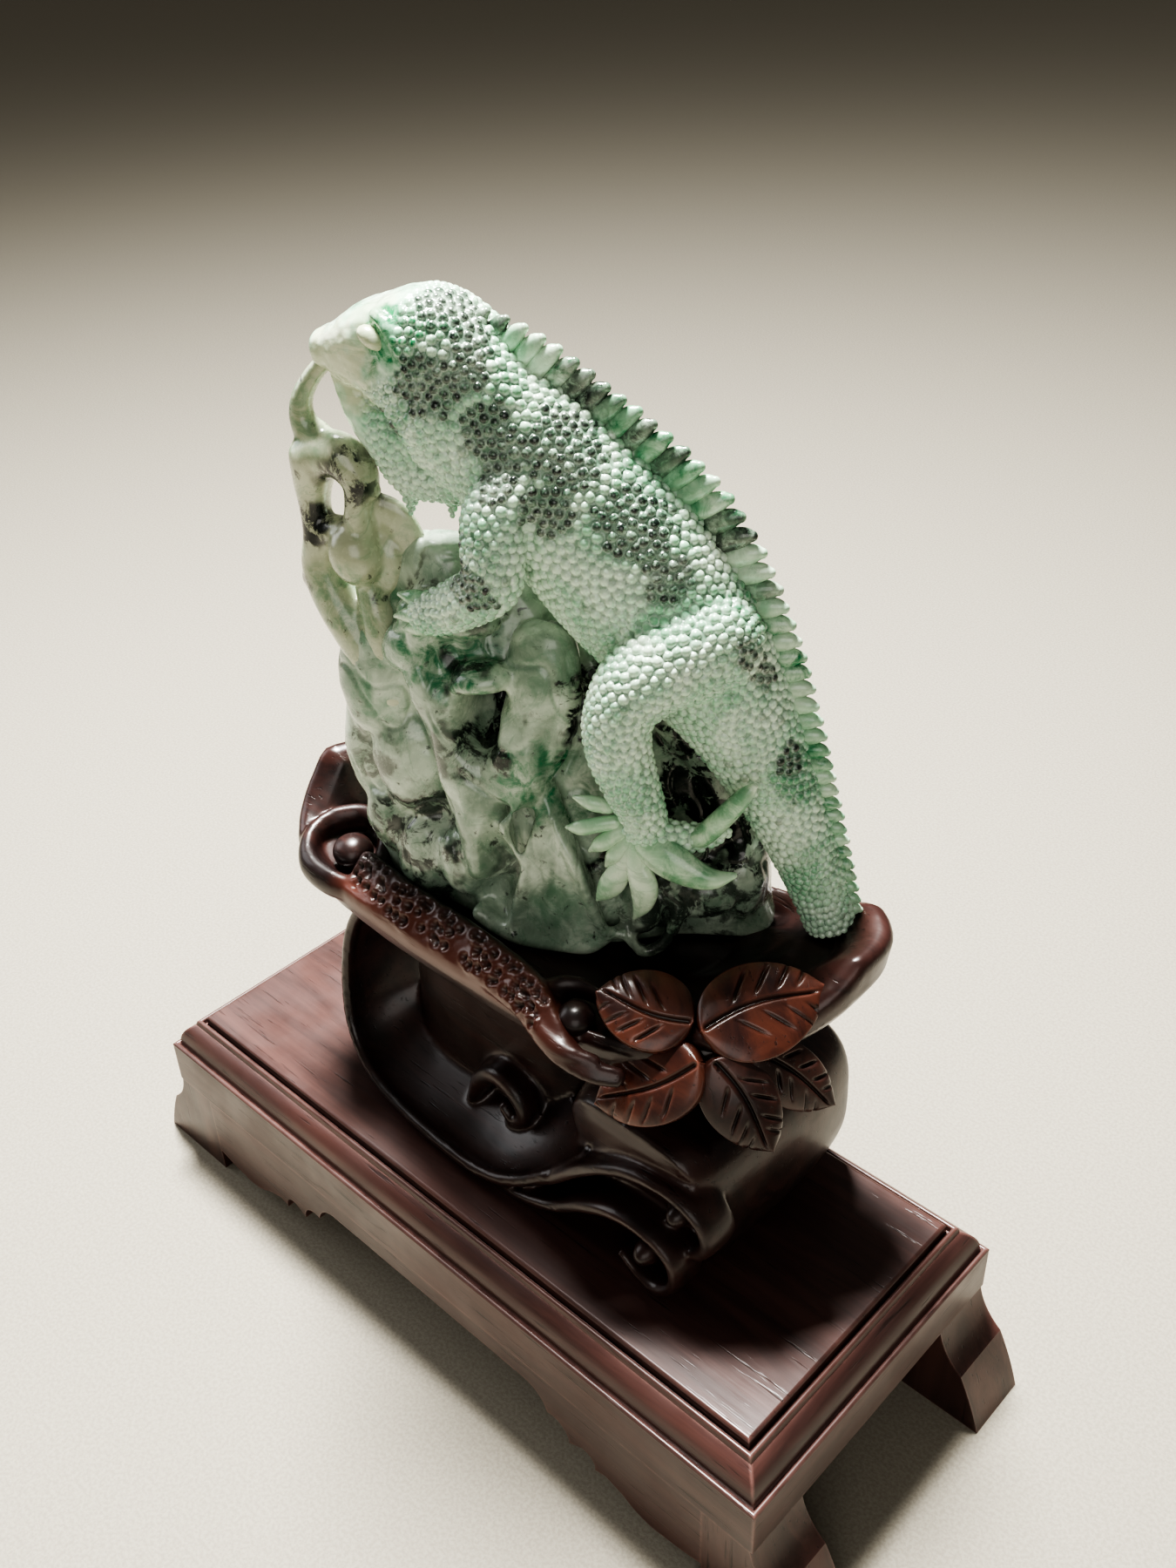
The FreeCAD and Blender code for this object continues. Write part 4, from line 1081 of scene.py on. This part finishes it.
def mix(tree, factor, a, b, blend="MIX"):
    node = tree.nodes.new("ShaderNodeMix")
    node.data_type = "RGBA"
    node.blend_type = blend
    for socket, value in ((node.inputs["Factor"], factor), (node.inputs[6], a),
                          (node.inputs[7], b)):
        if isinstance(value, (int, float)):
            socket.default_value = value
        elif isinstance(value, tuple):
            socket.default_value = (*value, 1.0)
        else:
            wire(tree, value, socket)
    return node.outputs[2]


def noise_node(tree, where, scale, detail=4.0, roughness=0.5, distortion=0.0):
    node = tree.nodes.new("ShaderNodeTexNoise")
    wire(tree, where, node.inputs["Vector"])
    for name, number in (("Scale", scale), ("Detail", detail), ("Roughness", roughness),
                         ("Distortion", distortion)):
        node.inputs[name].default_value = number
    return node.outputs["Fac"]


def stretched(tree, where, scale, turn=(0, 0, 0)):
    node = tree.nodes.new("ShaderNodeMapping")
    wire(tree, where, node.inputs["Vector"])
    node.inputs["Scale"].default_value = scale
    node.inputs["Rotation"].default_value = turn
    return node.outputs[0]


def new_group(name, outputs):
    tree = bpy.data.node_groups.new(name, "ShaderNodeTree")
    tree.interface.new_socket("Place", in_out="INPUT", socket_type="NodeSocketVector")
    for out in outputs:
        tree.interface.new_socket(out, in_out="OUTPUT", socket_type="NodeSocketFloat")
    return tree, tree.nodes.new("NodeGroupInput"), tree.nodes.new("NodeGroupOutput")


def use_group(tree, group, place):
    node = tree.nodes.new("ShaderNodeGroup")
    node.node_tree = group
    wire(tree, place, node.inputs["Place"])
    return node.outputs


# %% [markdown]
# Two node groups are shared by several finishes. "grain" gives long streaks,
# dark pores and a height for any wood. "stone clouds" gives the soft clouds,
# specks and fine veins that run through both jades. A group is built once, and
# a better grain then reaches every wood at the same time.

# %% Shared groups
grain_tree, grain_in, grain_out = new_group("grain", ("Streaks", "Pores", "Height"))
place = grain_in.outputs["Place"]
streaks = noise_node(grain_tree, stretched(grain_tree, place, (8, 90, 90)), 1.0, 6, 0.62, 0.7)
fine = noise_node(grain_tree, stretched(grain_tree, place, (45, 700, 700)), 1.0, 3, 0.6, 0.2)
pores = remap(grain_tree, fine, 0.60, 0.72)
wire(grain_tree, remap(grain_tree, streaks, 0.30, 0.72), grain_out.inputs["Streaks"])
wire(grain_tree, pores, grain_out.inputs["Pores"])
wire(grain_tree, math_node(grain_tree, "SUBTRACT", math_node(grain_tree, "MULTIPLY", fine, 0.3),
                           math_node(grain_tree, "MULTIPLY", pores, 0.7)),
     grain_out.inputs["Height"])

cloud_tree, cloud_in, cloud_out = new_group("stone clouds", ("Clouds", "Specks", "Veins"))
place = cloud_in.outputs["Place"]
clouds = noise_node(cloud_tree, place, 70, 5, 0.6, 0.6)
specks = noise_node(cloud_tree, place, 260, 4, 0.65, 0.4)
veins = math_node(cloud_tree, "ABSOLUTE", math_node(
    cloud_tree, "SUBTRACT", noise_node(cloud_tree, place, 46, 6, 0.62, 1.4), 0.5))
wire(cloud_tree, remap(cloud_tree, clouds, 0.34, 0.66), cloud_out.inputs["Clouds"])
wire(cloud_tree, remap(cloud_tree, specks, 0.60, 0.72), cloud_out.inputs["Specks"])
wire(cloud_tree, remap(cloud_tree, veins, 0.035, 0.0), cloud_out.inputs["Veins"])
print("groups", sorted(group.name for group in (grain_tree, cloud_tree)))

# %% [markdown]
# Every material starts alike: its shader, a place in the object's own space,
# the masks that were stored on the mesh, and a fine bump.


# %% Material helpers
def start_material(name):
    mat = bpy.data.materials.new(name)
    mat.use_nodes = True
    tree = mat.node_tree
    shader = tree.nodes["Principled BSDF"]
    place = tree.nodes.new("ShaderNodeTexCoord").outputs["Object"]
    return mat, tree, shader, place


def mask(tree, name):
    node = tree.nodes.new("ShaderNodeAttribute")
    node.attribute_name = name
    return node.outputs["Fac"]


def bump(tree, shader, height, distance, strength=1.0):
    node = tree.nodes.new("ShaderNodeBump")
    node.inputs["Distance"].default_value = distance
    node.inputs["Strength"].default_value = strength
    wire(tree, height, node.inputs["Height"])
    wire(tree, node.outputs[0], shader.inputs["Normal"])


# %% [markdown]
# Both jades are stone that light sinks into a little. The base tone comes from
# the clouds, and emerald, black and cream come from the masks on the mesh. The
# groove round a bead is darkened as painted shade, and its shoulder is paler,
# partly the pale matte ground of the stone and partly painted highlight. Fine
# noise breaks the polish, because a perfect gloss would look like plastic.


# %% Jade
def jade_material(name, pale, deep, emerald, black, speck_power, fray, crisp):
    mat, tree, shader, place = start_material(name)
    cloud = use_group(tree, cloud_tree, place)
    base = mix(tree, cloud["Clouds"], deep, pale)
    base = mix(tree, mask(tree, "bead_tone"), base, (0.62, 0.70, 0.60), "SOFT_LIGHT")
    base = mix(tree, math_node(tree, "MULTIPLY", mask(tree, "cream"), 0.8), base,
               (0.62, 0.60, 0.40))
    green = math_node(tree, "MULTIPLY", mask(tree, "green"), remap(
        tree, noise_node(tree, place, 150, 5, 0.7, 1.0), 0.36, 0.62, 0.1, 1.4), True)
    base = mix(tree, math_node(tree, "MAXIMUM", green,
                               math_node(tree, "MULTIPLY", cloud["Veins"], 0.22)), base, emerald)
    frayed = math_node(tree, "MULTIPLY", mask(tree, "dark"), remap(
        tree, noise_node(tree, place, fray, 5, 0.7, 0.6), *crisp))
    dark = math_node(tree, "MAXIMUM", frayed,
                     math_node(tree, "MULTIPLY", cloud["Specks"], speck_power), True)
    base = mix(tree, dark, base, black)
    # painted shade: the groove between the beads is darkened
    base = mix(tree, math_node(tree, "MULTIPLY", mask(tree, "groove_shade"), 0.6), base,
               tuple(0.4 * c for c in deep))
    # pale ring on the bead's shoulder: partly the pale matte ground, partly painted highlight
    base = mix(tree, math_node(tree, "MULTIPLY", mask(tree, "ring"), 0.55), base,
               (0.74, 0.84, 0.76))
    wire(tree, base, shader.inputs["Base Color"])
    shader.inputs["Subsurface Weight"].default_value = 0.10
    shader.inputs["Subsurface Radius"].default_value = (0.9, 1.0, 0.8)
    shader.inputs["Subsurface Scale"].default_value = 0.0015
    shader.inputs["IOR"].default_value = 1.6
    shader.inputs["Coat Weight"].default_value = 0.4
    shader.inputs["Coat Roughness"].default_value = 0.12
    wire(tree, remap(tree, noise_node(tree, place, 500, 3), 0.3, 0.7, 0.17, 0.30),
         shader.inputs["Roughness"])
    bump(tree, shader, noise_node(tree, place, 900, 4, 0.6), 0.00008, 0.6)
    return mat


green_jade = jade_material("green jade", (0.68, 0.85, 0.68), (0.30, 0.56, 0.38),
                           (0.012, 0.22, 0.080), (0.006, 0.012, 0.010), 0.08, 420,
                           (0.34, 0.56, 0.45, 1.0))
grey_jade = jade_material("grey jade", (0.54, 0.62, 0.52), (0.22, 0.29, 0.23),
                          (0.03, 0.20, 0.09), (0.008, 0.013, 0.011), 0.85, 130,
                          (0.44, 0.54, 0.12, 1.0))
for obj in (lizard, crest, eyes, claws):
    obj.data.materials.append(green_jade)
for obj in (rock, vine):
    obj.data.materials.append(grey_jade)


# %% [markdown]
# The stand is dark polished rosewood, redder along the front band. Its edges
# are lighter, partly wear and partly painted highlight where they catch the
# light. Three leaves get a brighter, redder copy of the wood, painted light
# where the top light falls, and the two lower ones a darker copy, painted
# shade. The pits of the band and the cuts of the leaves are coloured near
# black, painted shade in the hollows. The lighter edge is found by comparing
# the surface's direction with the same direction rounded over a small
# distance: they differ only near an edge.

# %% Woods
WORN_AND_LIT_EDGE = 0.0012


def wood_material(name, dark, light, turn, rough, wear_and_highlight_power, coat, cut_masks=()):
    """A rosewood; each cut mask is a mask's name, its colour and its power."""
    mat, tree, shader, place = start_material(name)
    grain = use_group(tree, grain_tree, stretched(tree, place, (1, 1, 1), turn))
    base = mix(tree, grain["Streaks"], dark, light)
    base = mix(tree, math_node(tree, "MULTIPLY", grain["Pores"], 0.7), base,
               tuple(0.25 * c for c in dark))
    # lighter edges: partly wear, partly painted highlight along edges that catch the light
    bevel = tree.nodes.new("ShaderNodeBevel")
    bevel.samples = 4
    bevel.inputs["Radius"].default_value = WORN_AND_LIT_EDGE
    flat = tree.nodes.new("ShaderNodeNewGeometry").outputs["Normal"]
    facing = tree.nodes.new("ShaderNodeVectorMath")
    facing.operation = "DOT_PRODUCT"
    wire(tree, bevel.outputs[0], facing.inputs[0])
    wire(tree, flat, facing.inputs[1])
    worn_and_lit = remap(tree, facing.outputs["Value"], 0.995, 0.90)
    worn_and_lit = math_node(tree, "MULTIPLY", worn_and_lit, remap(
        tree, noise_node(tree, place, 160, 4, 0.6), 0.35, 0.6, 0.25, 1.0))
    base = mix(tree, math_node(tree, "MULTIPLY", worn_and_lit, wear_and_highlight_power), base,
               tuple(min(1.0, 2.4 * c + 0.04) for c in light))
    for mask_name, colour, power in cut_masks:
        base = mix(tree, math_node(tree, "MULTIPLY", mask(tree, mask_name), power), base, colour)
    wire(tree, base, shader.inputs["Base Color"])
    wire(tree, remap(tree, noise_node(tree, place, 40, 4), 0.3, 0.7, rough - 0.07, rough + 0.10),
         shader.inputs["Roughness"])
    shader.inputs["Coat Weight"].default_value = coat
    shader.inputs["Coat Roughness"].default_value = 0.18
    bump(tree, shader, grain["Height"], 0.00012, 0.8)
    return mat


LEAF_TURN = (0, 0, 0.6)
# the pits colour is painted shade in the bored hollows of the band
stand_wood = wood_material("stand rosewood", (0.010, 0.005, 0.005), (0.045, 0.017, 0.014),
                           (0, 0, 0), 0.34, 0.55, 0.25,
                           [("red", (0.12, 0.034, 0.022), 0.8),
                            ("pits", (0.004, 0.002, 0.002), 0.9)])
# lit copy of the leaf wood, brighter and redder: painted light where the top light falls on the
# three upper leaves; its cuts are painted shade
lit_leaf_wood = wood_material("leaf rosewood", (0.030, 0.010, 0.009), (0.14, 0.044, 0.027),
                          LEAF_TURN, 0.34, 0.6, 0.30, [("cuts", (0.005, 0.003, 0.002), 0.95)])
# shaded copy of the leaf wood: painted shade on the two lower leaves; its cuts are painted shade
# too
shaded_leaf_wood = wood_material("shaded leaf rosewood", (0.014, 0.006, 0.005),
                               (0.055, 0.019, 0.014), LEAF_TURN, 0.34, 0.7, 0.30,
                               [("cuts", (0.003, 0.002, 0.002), 0.95)])

# %% [markdown]
# Grain runs along a board. The table's long pieces lie along X, its end rails
# and battens along Y, and its legs stand up, so its one wood is made in three
# turns, and each piece gets the turn that follows its own length.

# %% Table woods, and wood on every piece
TURNS = {"x": (0, 0, 0), "y": (0, 0, math.pi / 2), "z": (0, math.pi / 2, 0)}
table_wood = {axis: wood_material("table rosewood " + axis, (0.040, 0.019, 0.017),
                                  (0.098, 0.045, 0.038), turn, 0.38, 0.5, 0.2)
              for axis, turn in TURNS.items()}
for obj in (tray, balls, foot, twig):
    obj.data.materials.append(stand_wood)
for obj in (leaf_a, leaf_b, leaf_c):
    obj.data.materials.append(lit_leaf_wood)
for obj in (leaf_d, leaf_e):
    obj.data.materials.append(shaded_leaf_wood)
for name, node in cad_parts.items():
    if name.startswith("table_"):
        across = ("rail_left" in name or "rail_right" in name or "batten" in name)
        axis = "y" if across else "z" if "leg" in name else "x"
        node.data.materials.clear()
        node.data.materials.append(table_wood[axis])
print("materials", sorted(mat.name for mat in bpy.data.materials if mat.users))

# %% [markdown]
# ## Studio
# The floor is pale and nearly plain, with a faint weave, so that nothing
# competes with the carving. It is wide enough to reach the horizon.

# %% Floor
floor_mesh = bpy.data.meshes.new("floor")
floor_mesh.from_pydata([(-9, -9, 0), (9, -9, 0), (9, 9, 0), (-9, 9, 0)], [], [(0, 1, 2, 3)])
floor = bpy.data.objects.new("floor", floor_mesh)
bpy.context.scene.collection.objects.link(floor)
floor_mat, floor_tree, floor_shader, floor_place = start_material("pale floor")
weave = noise_node(floor_tree, floor_place, 900, 3, 0.6)
wire(floor_tree, mix(floor_tree, remap(floor_tree, weave, 0.35, 0.65), (0.31, 0.285, 0.235),
                     (0.37, 0.345, 0.285)), floor_shader.inputs["Base Color"])
floor_shader.inputs["Roughness"].default_value = 0.9
bump(floor_tree, floor_shader, weave, 0.0003, 0.5)
floor_mesh.materials.append(floor_mat)

# %% [markdown]
# One strong, small light from above, behind and to the left gives the beads
# their bright tops and deep grooves. Two weak fills keep the front readable,
# while the hollows under the stand stay dark.


# %% Lights
def area_light(name, spot, aim, size, watts, colour):
    data = bpy.data.lights.new(name, "AREA")
    data.size, data.energy, data.color = size, watts, colour
    obj = bpy.data.objects.new(name, data)
    obj.location = spot
    obj.rotation_mode = "QUATERNION"
    obj.rotation_quaternion = (Vector(aim) - Vector(spot)).to_track_quat("-Z", "Y")
    bpy.context.scene.collection.objects.link(obj)


area_light("top light", (-0.24, 0.16, 1.12), (0.01, 0.0, 0.22), 0.24, 50, (1.0, 0.98, 0.94))
area_light("front fill", (0.75, -0.85, 0.65), (0, 0, 0.15), 0.8, 3.4, (1.0, 0.97, 0.92))
area_light("left fill", (-0.9, -0.35, 0.6), (0, 0, 0.18), 0.6, 2.6, (0.96, 0.98, 1.0))
world = bpy.data.worlds.new("studio")
world.use_nodes = True
world.node_tree.nodes["Background"].inputs["Color"].default_value = (0.80, 0.76, 0.68, 1)
world.node_tree.nodes["Background"].inputs["Strength"].default_value = 0.20
bpy.context.scene.world = world

# %% [markdown]
# The camera looks down over the right front corner, with a slight roll. Its
# place, its lens and its angles are set once, and a matrix joins them.

# %% Camera and view
CAMERA_AT = (0.2543, -0.2325, 0.4255)
camera_data = bpy.data.cameras.new("camera")
camera_data.lens, camera_data.sensor_width = 34.86, 36
camera = bpy.data.objects.new("camera", camera_data)
bpy.context.scene.collection.objects.link(camera)
AZIMUTH, ELEVATION, ROLL = (math.radians(a) for a in (44.55, 34.36, -2.28))
look = Vector((-math.sin(AZIMUTH) * math.cos(ELEVATION), math.cos(AZIMUTH) * math.cos(ELEVATION),
               -math.sin(ELEVATION)))
right = look.cross(Vector((0, 0, 1))).normalized()
above = right.cross(look)
right, above = (math.cos(ROLL) * right + math.sin(ROLL) * above,
                -math.sin(ROLL) * right + math.cos(ROLL) * above)
camera.matrix_world = Matrix.Translation(CAMERA_AT) @ Matrix(
    (right, above, -look)).transposed().to_4x4()
bpy.context.scene.camera = camera
bpy.context.scene.view_settings.view_transform = "AgX"
bpy.context.scene.view_settings.look = "AgX - High Contrast"
